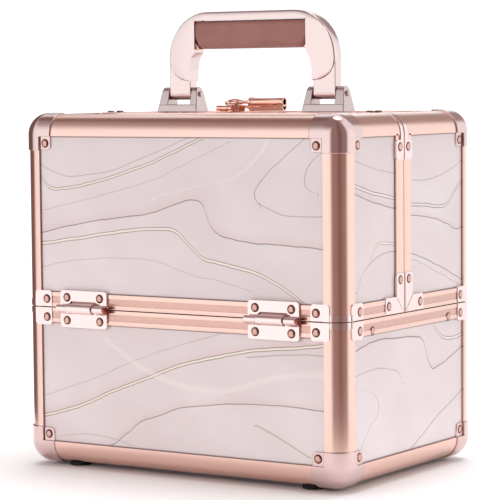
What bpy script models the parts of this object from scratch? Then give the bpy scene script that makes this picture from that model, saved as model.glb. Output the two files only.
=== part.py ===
"""Two-lid makeup train case: an aluminium frame with stone-pattern panels, four level trays and a carry handle.

Units: the sizes below are in millimetres and are turned into metres by MM. +Z is up and z = 0 is the
underside of the rubber feet. X runs along the long side, and the front of the case faces -Y.
"""

import math

import bmesh
import bpy

MM = 0.001

# Overall body, without feet, handle and hinge barrels
WIDTH = 260.0
DEPTH = 180.0
HEIGHT = 243.0
FOOT_HEIGHT = 3.0
FOOT_RADIUS = 7.5
FOOT_INSET_X = 34.0
FOOT_INSET_Y = 18.0
BASE_HEIGHT = 109.0  # bottom of the body to the middle of the gap under the lids
RIM_GAP = 0.5
SEAM_Y = -10.0  # middle of the gap between the two lids
SEAM_GAP = 1.0
GAP = 0.3  # between pieces that touch

# Aluminium sections
EDGE_RADIUS = 14.0
EDGE_WIDTH = 15.0
SECTION_WALL = 1.2
INNER_WALL = 1.0
SLOT_DEPTH = 4.8  # from the outer face to the inner flange
RIM_WIDTH = 10.3
SEAM_WIDTH = 9.5
LAP = 1.0  # how far two sections overlap where they join

# Panels and linings
PANEL_THICKNESS = 3.0
PANEL_GRIP = 2.0  # how far a panel goes into its slot
LINING = 1.2

# Corner caps
CAP_LENGTH = 25.0
CAP_WALL = 0.7

# Lid hinges
HINGE_X = 77.4
HINGE_LENGTH = 40.0
HINGE_AXIS_OUT = 4.3  # from the body's face to the axis
LEAF = 1.0
LEAF_HEIGHT = 12.5
KNUCKLE_RADIUS = 3.7
END_KNUCKLE_RADIUS = 2.7
END_KNUCKLE_LENGTH = 9.2
PIN_RADIUS = 1.5
PIN_CLEARANCE = 0.1

# Trays and the links that carry them. Inwards and upwards are from the lid's hinge axis.
TRAY_WALL = 2.0
TRAY_FLOOR = 2.0
TRAY_CELLS = 2
TRAY_END_GAP = 12.0  # from the body's end to the tray
TRAY_FACE_GAP = 10.2  # from the body's long face to the tray
TRAY_PIVOT_UP = 5.0
TRAY_SPACING = 32.0  # top of the lower tray to the bottom of the upper one
TRAY_HEADROOM = 33.25  # top of the upper tray to the lid's lining
TRAY_STEP = 2.0  # how much taller the upper tray is
LOWER_PIVOT_IN = 19.0
LOWER_PIVOT_UP = 8.2
FRONT_UPPER_PIVOT_IN = 35.0
BACK_UPPER_PIVOT_IN = 42.0
FRONT_TRAY_DEPTH = 66.0
BACK_TRAY_DEPTH = 85.8
LINK_PIVOT_IN = 42.0  # from the lid's hinge axis to the link's pivot in the base
LINK_PIVOT_DOWN = 8.3
LINK_HALF_WIDTH = 4.0
LINK_THICKNESS = 1.5
LINK_TRAY_GAP = 1.0
EAR_RADIUS = 4.0
STUD_REACH = 2.2  # how far a stud goes into a tray's end

# Handle
HANDLE_Y = 8.0
HANDLE_PIN_UP = 13.0
HANDLE_PIN_RADIUS = 2.0
FOOT_X = 60.75
FOOT_WIDTH = 34.0
FOOT_EAR = 6.5
FOOT_DEPTH = 16.0
FOOT_PLATE = 5.3
FOOT_TOP_RADIUS = 5.0
LEG_WIDTH = 18.0
LEG_DEPTH = 12.0
ARCH_HALF_WIDTH = 69.0
ARCH_RISE = 71.0  # body top to arch top
ARCH_CORNER = 33.0
ARCH_BAND = 6.0
GRIP_HALF_LENGTH = 46.0
GRIP_HEIGHT = 20.0
GRIP_DEPTH = 11.0
GRIP_ROUND = 4.0

# Lock, hasp and keys
LOCK_X = -9.75
LOCK_WIDTH = 12.5
LOCK_HEIGHT = 5.0
LOCK_FRONT = 0.7  # behind the middle of the seam
LOCK_DEPTH = 10.8
LOCK_TOE = 0.6
RAMP_RUN = 4.3
LOCK_PLATE = 0.6
PLATE_LEFT = -26.0
PLATE_RIGHT = 18.0
CYLINDER_RADIUS = 2.4
CYLINDER_SINK = 3.0
HASP_AXIS_OUT = 4.5  # in front of the middle of the seam
HASP_AXIS_UP = 3.2
HASP_KNUCKLE = 1.9
HASP_PIN_RADIUS = 0.9
HASP_PLATE = 1.0
KEY_BARREL_RADIUS = 3.2
KEY_BARREL_BORE = 2.0
KEY_COLLAR_RADIUS = 3.8
KEY_NECK_RADIUS = 1.0
KEY_BOW = (14.0, 10.0, 2.2)
KEY_HOLE_RADIUS = 1.5
KEY_NECK_LENGTH = 7.0
KEY_COLLAR_LENGTH = 2.0
KEY_BARREL_LENGTH = 26.0
UPPER_KEY = (-18.0, -1.0, 7.2)  # bow's left end, y and height above the body's top
LOWER_KEY = (-24.0, 8.6, 3.8)

# Derived planes and points
HALF_X = WIDTH / 2
HALF_Y = DEPTH / 2
BODY_BOTTOM = FOOT_HEIGHT
BODY_TOP = FOOT_HEIGHT + HEIGHT
RIM_Z = BODY_BOTTOM + BASE_HEIGHT + RIM_GAP / 2
BASE_TOP = RIM_Z - RIM_GAP / 2
LID_BOTTOM = RIM_Z + RIM_GAP / 2
HINGE_Y = HALF_Y + HINGE_AXIS_OUT
HINGE_Z = RIM_Z
INNER_FACE = SLOT_DEPTH + INNER_WALL
PANEL_OUTER = SECTION_WALL + GAP
PANEL_EDGE = EDGE_WIDTH - PANEL_GRIP
LINING_OUT = INNER_FACE + GAP
LINING_IN = LINING_OUT + LINING
TRAY_END = HALF_X - TRAY_END_GAP
LINK_IN = TRAY_END + LINK_TRAY_GAP
LINK_OUT = LINK_IN + LINK_THICKNESS
LID_SIDE = {"front": -1, "back": 1}
SEAM_FACE = {"front": SEAM_Y - SEAM_GAP / 2, "back": SEAM_Y + SEAM_GAP / 2}
LOWER_TRAY_BOTTOM = HINGE_Z + LOWER_PIVOT_UP - TRAY_PIVOT_UP
TRAY_STACK = BODY_TOP - LINING_IN - LOWER_TRAY_BOTTOM - TRAY_SPACING - TRAY_HEADROOM
LOWER_TRAY_HEIGHT = (TRAY_STACK - TRAY_STEP) / 2
UPPER_TRAY_HEIGHT = LOWER_TRAY_HEIGHT + TRAY_STEP
UPPER_PIVOT_UP = LOWER_PIVOT_UP + LOWER_TRAY_HEIGHT + TRAY_SPACING
LOWER_PIVOT = (LOWER_PIVOT_IN, LOWER_PIVOT_UP)
UPPER_PIVOT = {"front": (FRONT_UPPER_PIVOT_IN, UPPER_PIVOT_UP), "back": (BACK_UPPER_PIVOT_IN, UPPER_PIVOT_UP)}
TRAY_DEPTH = {"front": FRONT_TRAY_DEPTH, "back": BACK_TRAY_DEPTH}
SIDES = (("left", -1), ("right", 1))

# Colour, roughness, metallic
FINISHES = {
    "rose_aluminium": ((0.72, 0.42, 0.34), 0.34, 1.0),
    "pink_chrome": ((0.90, 0.74, 0.74), 0.12, 1.0),
    "marble_panel": ((0.82, 0.72, 0.73), 0.35, 0.0),
    "dark_lining": ((0.05, 0.04, 0.045), 0.9, 0.0),
    "tray_plastic": ((0.06, 0.05, 0.055), 0.6, 0.0),
    "link_steel": ((0.55, 0.52, 0.5), 0.35, 1.0),
    "black_rubber": ((0.02, 0.02, 0.02), 0.8, 0.0),
    "copper_chrome": ((0.80, 0.36, 0.22), 0.15, 1.0),
    "rose_leather": ((0.38, 0.18, 0.17), 0.55, 0.0),
}
AXES = {"X": (1, 2, 0), "Y": (0, 2, 1), "Z": (0, 1, 2)}


def finish(name):
    """The Principled material of that finish, made once."""
    found = bpy.data.materials.get(name)
    if found:
        return found
    colour, roughness, metallic = FINISHES[name]
    material = bpy.data.materials.new(name)
    material.use_nodes = True
    shader = material.node_tree.nodes["Principled BSDF"]
    shader.inputs["Base Color"].default_value = (*colour, 1)
    shader.inputs["Roughness"].default_value = roughness
    shader.inputs["Metallic"].default_value = metallic
    material.diffuse_color = (*colour, 1)
    return material


def prism(outline, axis, start, end):
    """A closed solid: an outline in the plane across the axis, drawn from start to end along it."""
    first, second, along = AXES[axis]
    mesh = bmesh.new()
    rings = []
    for place in (start, end):
        ring = []
        for a, b in outline:
            point = [0.0, 0.0, 0.0]
            point[first], point[second], point[along] = a * MM, b * MM, place * MM
            ring.append(mesh.verts.new(point))
        rings.append(ring)
    for ring in rings:
        mesh.faces.new(ring)
    count = len(outline)
    for i in range(count):
        j = (i + 1) % count
        mesh.faces.new((rings[0][i], rings[0][j], rings[1][j], rings[1][i]))
    bmesh.ops.recalc_face_normals(mesh, faces=mesh.faces)
    data = bpy.data.meshes.new("solid")
    mesh.to_mesh(data)
    mesh.free()
    solid = bpy.data.objects.new("solid", data)
    bpy.context.scene.collection.objects.link(solid)
    return solid


def box(low, high):
    """A box between two corners."""
    outline = ((low[0], low[1]), (high[0], low[1]), (high[0], high[1]), (low[0], high[1]))
    return prism(outline, "Z", low[2], high[2])


def arc(centre, radius, start, end, steps):
    """Points on an arc, angles in degrees."""
    points = []
    for i in range(steps + 1):
        angle = math.radians(start + (end - start) * i / steps)
        points.append((centre[0] + radius * math.cos(angle), centre[1] + radius * math.sin(angle)))
    return points


def rod(axis, centre, radius, start, end, sides=24):
    """A round bar along the axis through a centre in the plane across it."""
    return prism(arc(centre, radius, 0, 360 * (1 - 1 / sides), sides - 1), axis, start, end)


def boolean(target, tool, operation):
    """Carries out one Boolean on the target and removes the tool."""
    modifier = target.modifiers.new("cut", "BOOLEAN")
    modifier.operation = operation
    modifier.object = tool
    graph = bpy.context.evaluated_depsgraph_get()
    mesh = bpy.data.meshes.new_from_object(target.evaluated_get(graph))
    target.modifiers.clear()
    target.data = mesh
    bpy.data.objects.remove(tool)
    return target


def union(solids):
    """One solid out of several that overlap."""
    first, *others = solids
    for other in others:
        boolean(first, other, "UNION")
    return first


def cut(target, *tools):
    """The target without the tools."""
    for tool in tools:
        boolean(target, tool, "DIFFERENCE")
    return target


def node(solid, name, look, pivot=(0, 0, 0)):
    """Names a finished solid, gives it its material and puts its origin on the pivot."""
    solid.name = name
    solid.data.name = name
    shift = [value * MM for value in pivot]
    for vertex in solid.data.vertices:
        vertex.co.x -= shift[0]
        vertex.co.y -= shift[1]
        vertex.co.z -= shift[2]
    solid.location = shift
    solid.data.materials.clear()
    solid.data.materials.append(finish(look))
    solid.data.shade_smooth()
    solid.data.set_sharp_from_angle(angle=math.radians(35))
    return solid


def hinge_point(lid):
    """The lid's hinge axis, which doubles as the origin of what the lid carries."""
    return (0, LID_SIDE[lid] * HINGE_Y, HINGE_Z)


def tray_pivot(lid, offset):
    """Where a tray hangs on its lid, as (y, z)."""
    return (LID_SIDE[lid] * (HINGE_Y - offset[0]), HINGE_Z + offset[1])


def link_pivot(lid, offset=(0.0, 0.0)):
    """The link's own pivot in the base, or with an offset its pivot in a tray, as (y, z)."""
    y, z = tray_pivot(lid, offset)
    return (y - LID_SIDE[lid] * LINK_PIVOT_IN, z - LINK_PIVOT_DOWN)


# ---------------------------------------------------------------- aluminium sections


def edge_outline():
    """Quarter-round section with a slot for a panel on each leg, as distances in from the two faces."""
    r, w, t = EDGE_RADIUS, EDGE_WIDTH, SECTION_WALL
    inner = r - t
    tilt = math.degrees(math.acos((r - SLOT_DEPTH) / inner))
    outline = [(w, 0)] + arc((r, r), r, 270, 180, 7) + [(0, w), (t, w)]
    outline += arc((r, r), inner, 180, 180 + tilt, 3)
    outline += [(SLOT_DEPTH, w), (INNER_FACE, w), (INNER_FACE, INNER_FACE), (w, INNER_FACE), (w, SLOT_DEPTH)]
    outline += arc((r, r), inner, 270 - tilt, 270, 3) + [(w, t)]
    return outline


def channel_outline(width):
    """U section: distance in from its capped side, and depth in from the outer face."""
    t = SECTION_WALL
    return [(0, 0), (width, 0), (width, t), (t, t), (t, SLOT_DEPTH), (width, SLOT_DEPTH),
            (width, INNER_FACE), (0, INNER_FACE)]


def placed(outline, first, second):
    """An outline laid out from two faces, each given as (position, direction inwards)."""
    return [(first[0] + first[1] * a, second[0] + second[1] * b) for a, b in outline]


def long_edge(y_side, level, start, end):
    """The rounded edge along X at the front or back, at the top or bottom."""
    face, up = (BODY_BOTTOM, 1) if level == "bottom" else (BODY_TOP, -1)
    return prism(placed(edge_outline(), (y_side * HALF_Y, -y_side), (face, up)), "X", start, end)


def short_edge(x_side, level, start, end):
    """The rounded edge along Y at an end, at the top or bottom."""
    face, up = (BODY_BOTTOM, 1) if level == "bottom" else (BODY_TOP, -1)
    return prism(placed(edge_outline(), (x_side * HALF_X, -x_side), (face, up)), "Y", start, end)


def post(x_side, y_side, start, end):
    """The rounded upright at one corner."""
    faces = (x_side * HALF_X, -x_side), (y_side * HALF_Y, -y_side)
    return prism(placed(edge_outline(), *faces), "Z", start, end)


def base_frame():
    """Bottom edges, four posts and the rim, riveted into one frame."""
    rim = channel_outline(RIM_WIDTH)
    reach_x, reach_y = HALF_X - EDGE_RADIUS, HALF_Y - EDGE_RADIUS
    solids = []
    for side in (-1, 1):
        solids.append(long_edge(side, "bottom", -reach_x, reach_x))
        solids.append(short_edge(side, "bottom", -reach_y, reach_y))
        solids += [post(side, other, BODY_BOTTOM + EDGE_RADIUS, BASE_TOP) for other in (-1, 1)]
        long_rim = [(side * HALF_Y - side * depth, BASE_TOP - down) for down, depth in rim]
        short_rim = [(side * HALF_X - side * depth, BASE_TOP - down) for down, depth in rim]
        solids.append(prism(long_rim, "X", -reach_x, reach_x))
        solids.append(prism(short_rim, "Y", -reach_y, reach_y))
    return node(union(solids), "base_frame", "rose_aluminium")


def lid_frame(lid):
    """Top edges, two posts, the rim and the strips round the seam of one lid."""
    side, seam = LID_SIDE[lid], SEAM_FACE[lid]
    rim, strip = channel_outline(RIM_WIDTH), channel_outline(SEAM_WIDTH)
    reach_x, reach_y = HALF_X - EDGE_RADIUS, side * (HALF_Y - EDGE_RADIUS)
    solids = [long_edge(side, "top", -reach_x, reach_x)]
    for end in (-1, 1):
        solids.append(post(end, side, LID_BOTTOM, BODY_TOP - EDGE_RADIUS))
        solids.append(short_edge(end, "top", *sorted((reach_y, seam))))
        end_rim = [(end * (HALF_X - depth), LID_BOTTOM + up) for up, depth in rim]
        solids.append(prism(end_rim, "Y", *sorted((reach_y, seam))))
        upright = [(end * (HALF_X - depth), seam + side * across) for across, depth in strip]
        solids.append(prism(upright, "Z", LID_BOTTOM, BODY_TOP - EDGE_RADIUS))
    long_rim = [(side * (HALF_Y - depth), LID_BOTTOM + up) for up, depth in rim]
    solids.append(prism(long_rim, "X", -reach_x, reach_x))
    top_strip = [(seam + side * across, BODY_TOP - depth) for across, depth in strip]
    solids.append(prism(top_strip, "X", -reach_x, reach_x))
    return node(union(solids), f"{lid}_lid_frame", "rose_aluminium", hinge_point(lid))


# ---------------------------------------------------------------- panels and linings


def panels():
    """Flat panels that sit in the slots of the frames."""
    outer, inner = PANEL_OUTER, PANEL_OUTER + PANEL_THICKNESS
    wide, deep = HALF_X - PANEL_EDGE, HALF_Y - PANEL_EDGE
    low, high = BODY_BOTTOM + PANEL_EDGE, BODY_TOP - PANEL_EDGE
    under_rim = BASE_TOP - SECTION_WALL - GAP
    over_rim = LID_BOTTOM + SECTION_WALL + GAP
    floor = box((-wide, -deep, BODY_BOTTOM + outer), (wide, deep, BODY_BOTTOM + inner))
    node(floor, "bottom_panel", "marble_panel")
    for lid, side in LID_SIDE.items():
        ys = sorted((side * (HALF_Y - outer), side * (HALF_Y - inner)))
        node(box((-wide, ys[0], low), (wide, ys[1], under_rim)), f"base_{lid}_panel", "marble_panel")
        face = box((-wide, ys[0], over_rim), (wide, ys[1], high))
        node(face, f"{lid}_lid_{lid}_panel", "marble_panel", hinge_point(lid))
        span = sorted((side * deep, SEAM_FACE[lid] + side * (SECTION_WALL + GAP)))
        top = box((-wide, span[0], BODY_TOP - inner), (wide, span[1], BODY_TOP - outer))
        node(top, f"{lid}_lid_top_panel", "marble_panel", hinge_point(lid))
        for hand, end in SIDES:
            xs = sorted((end * (HALF_X - outer), end * (HALF_X - inner)))
            piece = box((xs[0], span[0], over_rim), (xs[1], span[1], high))
            node(piece, f"{lid}_lid_{hand}_panel", "marble_panel", hinge_point(lid))
    for hand, end in SIDES:
        xs = sorted((end * (HALF_X - outer), end * (HALF_X - inner)))
        node(box((xs[0], -deep, low), (xs[1], deep, under_rim)), f"base_{hand}_panel", "marble_panel")


def pivot_pins(points, tip):
    """Short pins on both end walls of a lining, each from the wall inwards to the tip."""
    wall = HALF_X - LINING_IN + LINING / 2
    pins = []
    for end in (-1, 1):
        pins += [rod("X", point, PIN_RADIUS, end * wall, end * tip) for point in points]
    return pins


def linings():
    """Thin box liners: one open at the top in the base, one open below and at the seam in each lid."""
    x_out, x_in = HALF_X - LINING_OUT, HALF_X - LINING_IN
    y_out, y_in = HALF_Y - LINING_OUT, HALF_Y - LINING_IN
    shell = box((-x_out, -y_out, BODY_BOTTOM + LINING_OUT), (x_out, y_out, BASE_TOP))
    cut(shell, box((-x_in, -y_in, BODY_BOTTOM + LINING_IN), (x_in, y_in, BASE_TOP + LAP)))
    link_pins = pivot_pins([link_pivot(lid) for lid in LID_SIDE], LINK_IN - GAP)
    node(union([shell, *link_pins]), "base_lining", "dark_lining")
    for lid, side in LID_SIDE.items():
        span = sorted((side * y_out, SEAM_FACE[lid] + side * GAP))
        hollow = sorted((side * y_in, SEAM_FACE[lid] - side * LAP))
        shell = box((-x_out, span[0], LID_BOTTOM), (x_out, span[1], BODY_TOP - LINING_OUT))
        cut(shell, box((-x_in, hollow[0], LID_BOTTOM - LAP), (x_in, hollow[1], BODY_TOP - LINING_IN)))
        hung = [tray_pivot(lid, LOWER_PIVOT), tray_pivot(lid, UPPER_PIVOT[lid])]
        whole = union([shell, *pivot_pins(hung, TRAY_END - STUD_REACH)])
        node(whole, f"{lid}_lid_lining", "dark_lining", hinge_point(lid))


# ---------------------------------------------------------------- corner caps and feet


def rounded_body(offset):
    """The body's outer shape, rounded on every edge, grown by the offset."""
    low = (-HALF_X - offset, -HALF_Y - offset, BODY_BOTTOM - offset)
    solid = box(low, (HALF_X + offset, HALF_Y + offset, BODY_TOP + offset))
    bevel = solid.modifiers.new("round", "BEVEL")
    bevel.width = (EDGE_RADIUS + offset) * MM
    bevel.segments = 6
    return solid


def corner_cap(x_side, y_side, level, name, pivot):
    """A polished cap wrapped over one corner of the body."""
    outer = rounded_body(GAP + CAP_WALL)
    cut(outer, rounded_body(GAP))
    far = GAP + CAP_WALL + LAP
    face, up = (BODY_BOTTOM, 1) if level == "bottom" else (BODY_TOP, -1)
    corners = [(x_side * (HALF_X - inwards), y_side * (HALF_Y - inwards), face + up * inwards)
               for inwards in (-far, CAP_LENGTH)]
    low, high = ([pick(pair) for pair in zip(*corners)] for pick in (min, max))
    boolean(outer, box(low, high), "INTERSECT")
    return node(outer, name, "pink_chrome", pivot)


def corner_caps():
    """Four caps under the base and two on top of each lid."""
    for lid, side in LID_SIDE.items():
        for hand, end in SIDES:
            corner_cap(end, side, "bottom", f"base_corner_{lid}_{hand}", (0, 0, 0))
            corner_cap(end, side, "top", f"{lid}_lid_corner_{hand}", hinge_point(lid))


def rubber_feet():
    """Four short round feet under the base."""
    for lid, side in LID_SIDE.items():
        for hand, end in SIDES:
            centre = (end * (HALF_X - FOOT_INSET_X), side * (HALF_Y - FOOT_INSET_Y))
            foot = rod("Z", centre, FOOT_RADIUS, 0, BODY_BOTTOM - GAP, 28)
            node(foot, f"rubber_foot_{lid}_{hand}", "black_rubber")


# ---------------------------------------------------------------- lid hinges


def hinge_halves(lid, hand, end):
    """The lower leaf with its two end knuckles and pin, and the upper leaf with the middle knuckle."""
    side = LID_SIDE[lid]
    axis = (side * HINGE_Y, HINGE_Z)
    left = end * HINGE_X - HINGE_LENGTH / 2
    right = left + HINGE_LENGTH
    middle = (left + END_KNUCKLE_LENGTH + GAP, right - END_KNUCKLE_LENGTH - GAP)
    plate = sorted((side * (HALF_Y + GAP), side * (HALF_Y + GAP + LEAF)))
    web = sorted((side * (HALF_Y + GAP + LEAF / 2), side * (HINGE_Y - END_KNUCKLE_RADIUS / 2)))
    step = KNUCKLE_RADIUS / 2 + LEAF
    lower = [box((left, plate[0], HINGE_Z - LEAF_HEIGHT - LEAF), (right, plate[1], HINGE_Z - step))]
    for start, stop in ((left, left + END_KNUCKLE_LENGTH), (right - END_KNUCKLE_LENGTH, right)):
        lower.append(rod("X", axis, END_KNUCKLE_RADIUS, start, stop))
        lower.append(box((start, web[0], HINGE_Z - step - LAP), (stop, web[1], HINGE_Z)))
    lower.append(rod("X", axis, PIN_RADIUS, left + LAP, right - LAP))
    node(union(lower), f"{lid}_hinge_lower_leaf_{hand}", "pink_chrome")
    leaf = box((left, plate[0], HINGE_Z + LEAF), (right, plate[1], HINGE_Z + LEAF_HEIGHT))
    upper = union([leaf, rod("X", axis, KNUCKLE_RADIUS, *middle)])
    cut(upper, rod("X", axis, PIN_RADIUS + PIN_CLEARANCE, left, right))
    node(upper, f"{lid}_hinge_upper_leaf_{hand}", "pink_chrome", hinge_point(lid))


def lid_hinges():
    """Two hinges on each long side."""
    for lid in LID_SIDE:
        for hand, end in SIDES:
            hinge_halves(lid, hand, end)


# ---------------------------------------------------------------- trays and links


def tray(lid, level, offset, height):
    """An open tray in cells, hung at both ends on its lid and on its link."""
    side = LID_SIDE[lid]
    pivot = tray_pivot(lid, offset)
    stud = link_pivot(lid, offset)
    outer_y = side * (HALF_Y - TRAY_FACE_GAP)
    ys = sorted((outer_y, outer_y - side * TRAY_DEPTH[lid]))
    floor = pivot[1] - TRAY_PIVOT_UP
    solid = box((-TRAY_END, ys[0], floor), (TRAY_END, ys[1], floor + height))
    cell = (2 * TRAY_END - TRAY_WALL) / TRAY_CELLS
    for i in range(TRAY_CELLS):
        left = -TRAY_END + TRAY_WALL + i * cell
        low = (left, ys[0] + TRAY_WALL, floor + TRAY_FLOOR)
        cut(solid, box(low, (left + cell - TRAY_WALL, ys[1] - TRAY_WALL, floor + height + LAP)))
    hole = PIN_RADIUS + PIN_CLEARANCE
    for end in (-1, 1):
        ear = rod("X", stud, EAR_RADIUS, end * (TRAY_END - TRAY_WALL), end * TRAY_END)
        neck = box((min(end * (TRAY_END - TRAY_WALL), end * TRAY_END), stud[0] - EAR_RADIUS, stud[1]),
                   (max(end * (TRAY_END - TRAY_WALL), end * TRAY_END), stud[0] + EAR_RADIUS, floor + LAP))
        union([solid, ear, neck])
        reach = (end * (TRAY_END - TRAY_WALL - LAP), end * (TRAY_END + LAP))
        cut(solid, rod("X", stud, hole, *reach), rod("X", pivot, hole, *reach))
    node(solid, f"{lid}_{level}_tray", "tray_plastic", (0, *pivot))


def link_bar(start, end, side):
    """A flat bar with round ends between two points (y, z), at one end of the case."""
    heading = math.degrees(math.atan2(end[1] - start[1], end[0] - start[0]))
    outline = arc(start, LINK_HALF_WIDTH, heading + 90, heading + 270, 8)
    outline += arc(end, LINK_HALF_WIDTH, heading - 90, heading + 90, 8)
    return prism(outline, "X", side * LINK_IN, side * LINK_OUT)


def tray_links():
    """A bent link at each end of each pair of trays, with a stud for each tray."""
    for lid in LID_SIDE:
        foot = link_pivot(lid)
        studs = [link_pivot(lid, LOWER_PIVOT), link_pivot(lid, UPPER_PIVOT[lid])]
        for hand, end in SIDES:
            solids = [link_bar(foot, studs[0], end), link_bar(studs[0], studs[1], end)]
            tip, root = end * (TRAY_END - STUD_REACH), end * (LINK_OUT - LINK_THICKNESS / 2)
            solids += [rod("X", stud, PIN_RADIUS, tip, root) for stud in studs]
            link = union(solids)
            hole = rod("X", foot, PIN_RADIUS + PIN_CLEARANCE, end * (LINK_IN - LAP), end * (LINK_OUT + LAP))
            node(cut(link, hole), f"{lid}_link_{hand}", "link_steel", (0, *foot))


def trays():
    """Two trays over each other under each lid."""
    for lid in LID_SIDE:
        tray(lid, "lower", LOWER_PIVOT, LOWER_TRAY_HEIGHT)
        tray(lid, "upper", UPPER_PIVOT[lid], UPPER_TRAY_HEIGHT)


# ---------------------------------------------------------------- handle


def handle_feet():
    """Two forked feet on the back lid, each with its pin."""
    bottom = BODY_TOP + GAP
    axis = (HANDLE_Y, BODY_TOP + HANDLE_PIN_UP)
    half = FOOT_DEPTH / 2
    ear = [(HANDLE_Y - half, bottom), (HANDLE_Y + half, bottom)] + arc(axis, FOOT_TOP_RADIUS, 15, 165, 8)
    for hand, end in SIDES:
        left, right = end * FOOT_X - FOOT_WIDTH / 2, end * FOOT_X + FOOT_WIDTH / 2
        plate = box((left, HANDLE_Y - half, bottom), (right, HANDLE_Y + half, bottom + FOOT_PLATE))
        fork = union([prism(ear, "X", left, left + FOOT_EAR), prism(ear, "X", right - FOOT_EAR, right), plate])
        cut(fork, rod("X", axis, HANDLE_PIN_RADIUS + PIN_CLEARANCE, left - LAP, right + LAP))
        node(fork, f"handle_foot_{hand}", "pink_chrome", hinge_point("back"))
        pin = rod("X", axis, HANDLE_PIN_RADIUS, left + GAP, right - GAP)
        node(pin, f"handle_pin_{hand}", "pink_chrome", hinge_point("back"))


def handle():
    """The arch with its two legs, and the padded grip that it holds."""
    pin_z = BODY_TOP + HANDLE_PIN_UP
    top = BODY_TOP + ARCH_RISE
    bottom = pin_z - LEG_DEPTH / 2
    corner_z = top - ARCH_CORNER
    corner_x = ARCH_HALF_WIDTH - ARCH_CORNER
    grip_top = top - ARCH_BAND - GAP
    grip_x = GRIP_HALF_LENGTH + GAP
    leg_x = ARCH_HALF_WIDTH - LEG_WIDTH
    right = [(leg_x, bottom), (ARCH_HALF_WIDTH, bottom)]
    right += arc((corner_x, corner_z), ARCH_CORNER, 0, 90, 10)
    inside = [(leg_x, grip_top - GRIP_HEIGHT - GAP), (grip_x, grip_top - GRIP_HEIGHT - GAP + ARCH_BAND),
              (grip_x, grip_top + GAP)]
    outline = right + [(-x, z) for x, z in reversed(right)] + [(-x, z) for x, z in inside] + inside[::-1]
    arch = prism(outline, "Y", HANDLE_Y - LEG_DEPTH, HANDLE_Y + LEG_DEPTH)
    half = LEG_DEPTH / 2
    side_view = arc((HANDLE_Y, pin_z), half, 180, 360, 10) + [(HANDLE_Y + half, top + LAP),
                                                             (HANDLE_Y - half, top + LAP)]
    boolean(arch, prism(side_view, "X", -HALF_X, HALF_X), "INTERSECT")
    cut(arch, rod("X", (HANDLE_Y, pin_z), HANDLE_PIN_RADIUS + PIN_CLEARANCE, -HALF_X, HALF_X))
    node(arch, "handle_arch", "pink_chrome", (0, HANDLE_Y, pin_z))
    wide, tall = GRIP_DEPTH / 2 - GRIP_ROUND, GRIP_HEIGHT / 2 - GRIP_ROUND
    middle = grip_top - GRIP_HEIGHT / 2
    section = []
    for start, (across, up) in ((0, (1, 1)), (90, (-1, 1)), (180, (-1, -1)), (270, (1, -1))):
        section += arc((HANDLE_Y + across * wide, middle + up * tall), GRIP_ROUND, start, start + 90, 4)
    grip = prism(section, "X", -GRIP_HALF_LENGTH, GRIP_HALF_LENGTH)
    node(grip, "handle_grip", "rose_leather", (0, HANDLE_Y, pin_z))


# ---------------------------------------------------------------- lock, hasp and keys


def ramp_y(up):
    """Where the lock's sloping front is at a height above the body's top."""
    toe = SEAM_Y + LOCK_FRONT
    return toe + (up - LOCK_TOE - GAP) * RAMP_RUN / (LOCK_HEIGHT - LOCK_TOE - GAP)


def lock():
    """The lock on the back lid: a thin plate, the case with its sloping front, and the turning cylinder."""
    left, right = LOCK_X - LOCK_WIDTH / 2, LOCK_X + LOCK_WIDTH / 2
    front, back = SEAM_Y + LOCK_FRONT, SEAM_Y + LOCK_FRONT + LOCK_DEPTH
    case = [(front, BODY_TOP + GAP), (front, BODY_TOP + GAP + LOCK_TOE),
            (ramp_y(LOCK_HEIGHT), BODY_TOP + LOCK_HEIGHT), (back, BODY_TOP + LOCK_HEIGHT),
            (back, BODY_TOP + GAP)]
    plate = box((PLATE_LEFT, front, BODY_TOP + GAP), (PLATE_RIGHT, back, BODY_TOP + GAP + LOCK_PLATE))
    whole = union([prism(case, "X", left, right), plate])
    centre = (LOCK_X, (ramp_y(LOCK_HEIGHT) + back) / 2)
    sink = BODY_TOP + LOCK_HEIGHT - CYLINDER_SINK
    cut(whole, rod("Z", centre, CYLINDER_RADIUS + PIN_CLEARANCE, sink - GAP, BODY_TOP + LOCK_HEIGHT + LAP))
    node(whole, "lock_case", "copper_chrome", hinge_point("back"))
    cylinder = rod("Z", centre, CYLINDER_RADIUS, sink, BODY_TOP + LOCK_HEIGHT + GAP)
    slot = box((centre[0] - LINING / 2, centre[1] - LINING, sink + LAP),
               (centre[0] + LINING / 2, centre[1] + LINING, BODY_TOP + LOCK_HEIGHT + LAP))
    node(cut(cylinder, slot), "lock_cylinder", "copper_chrome", (*centre, sink))


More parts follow.
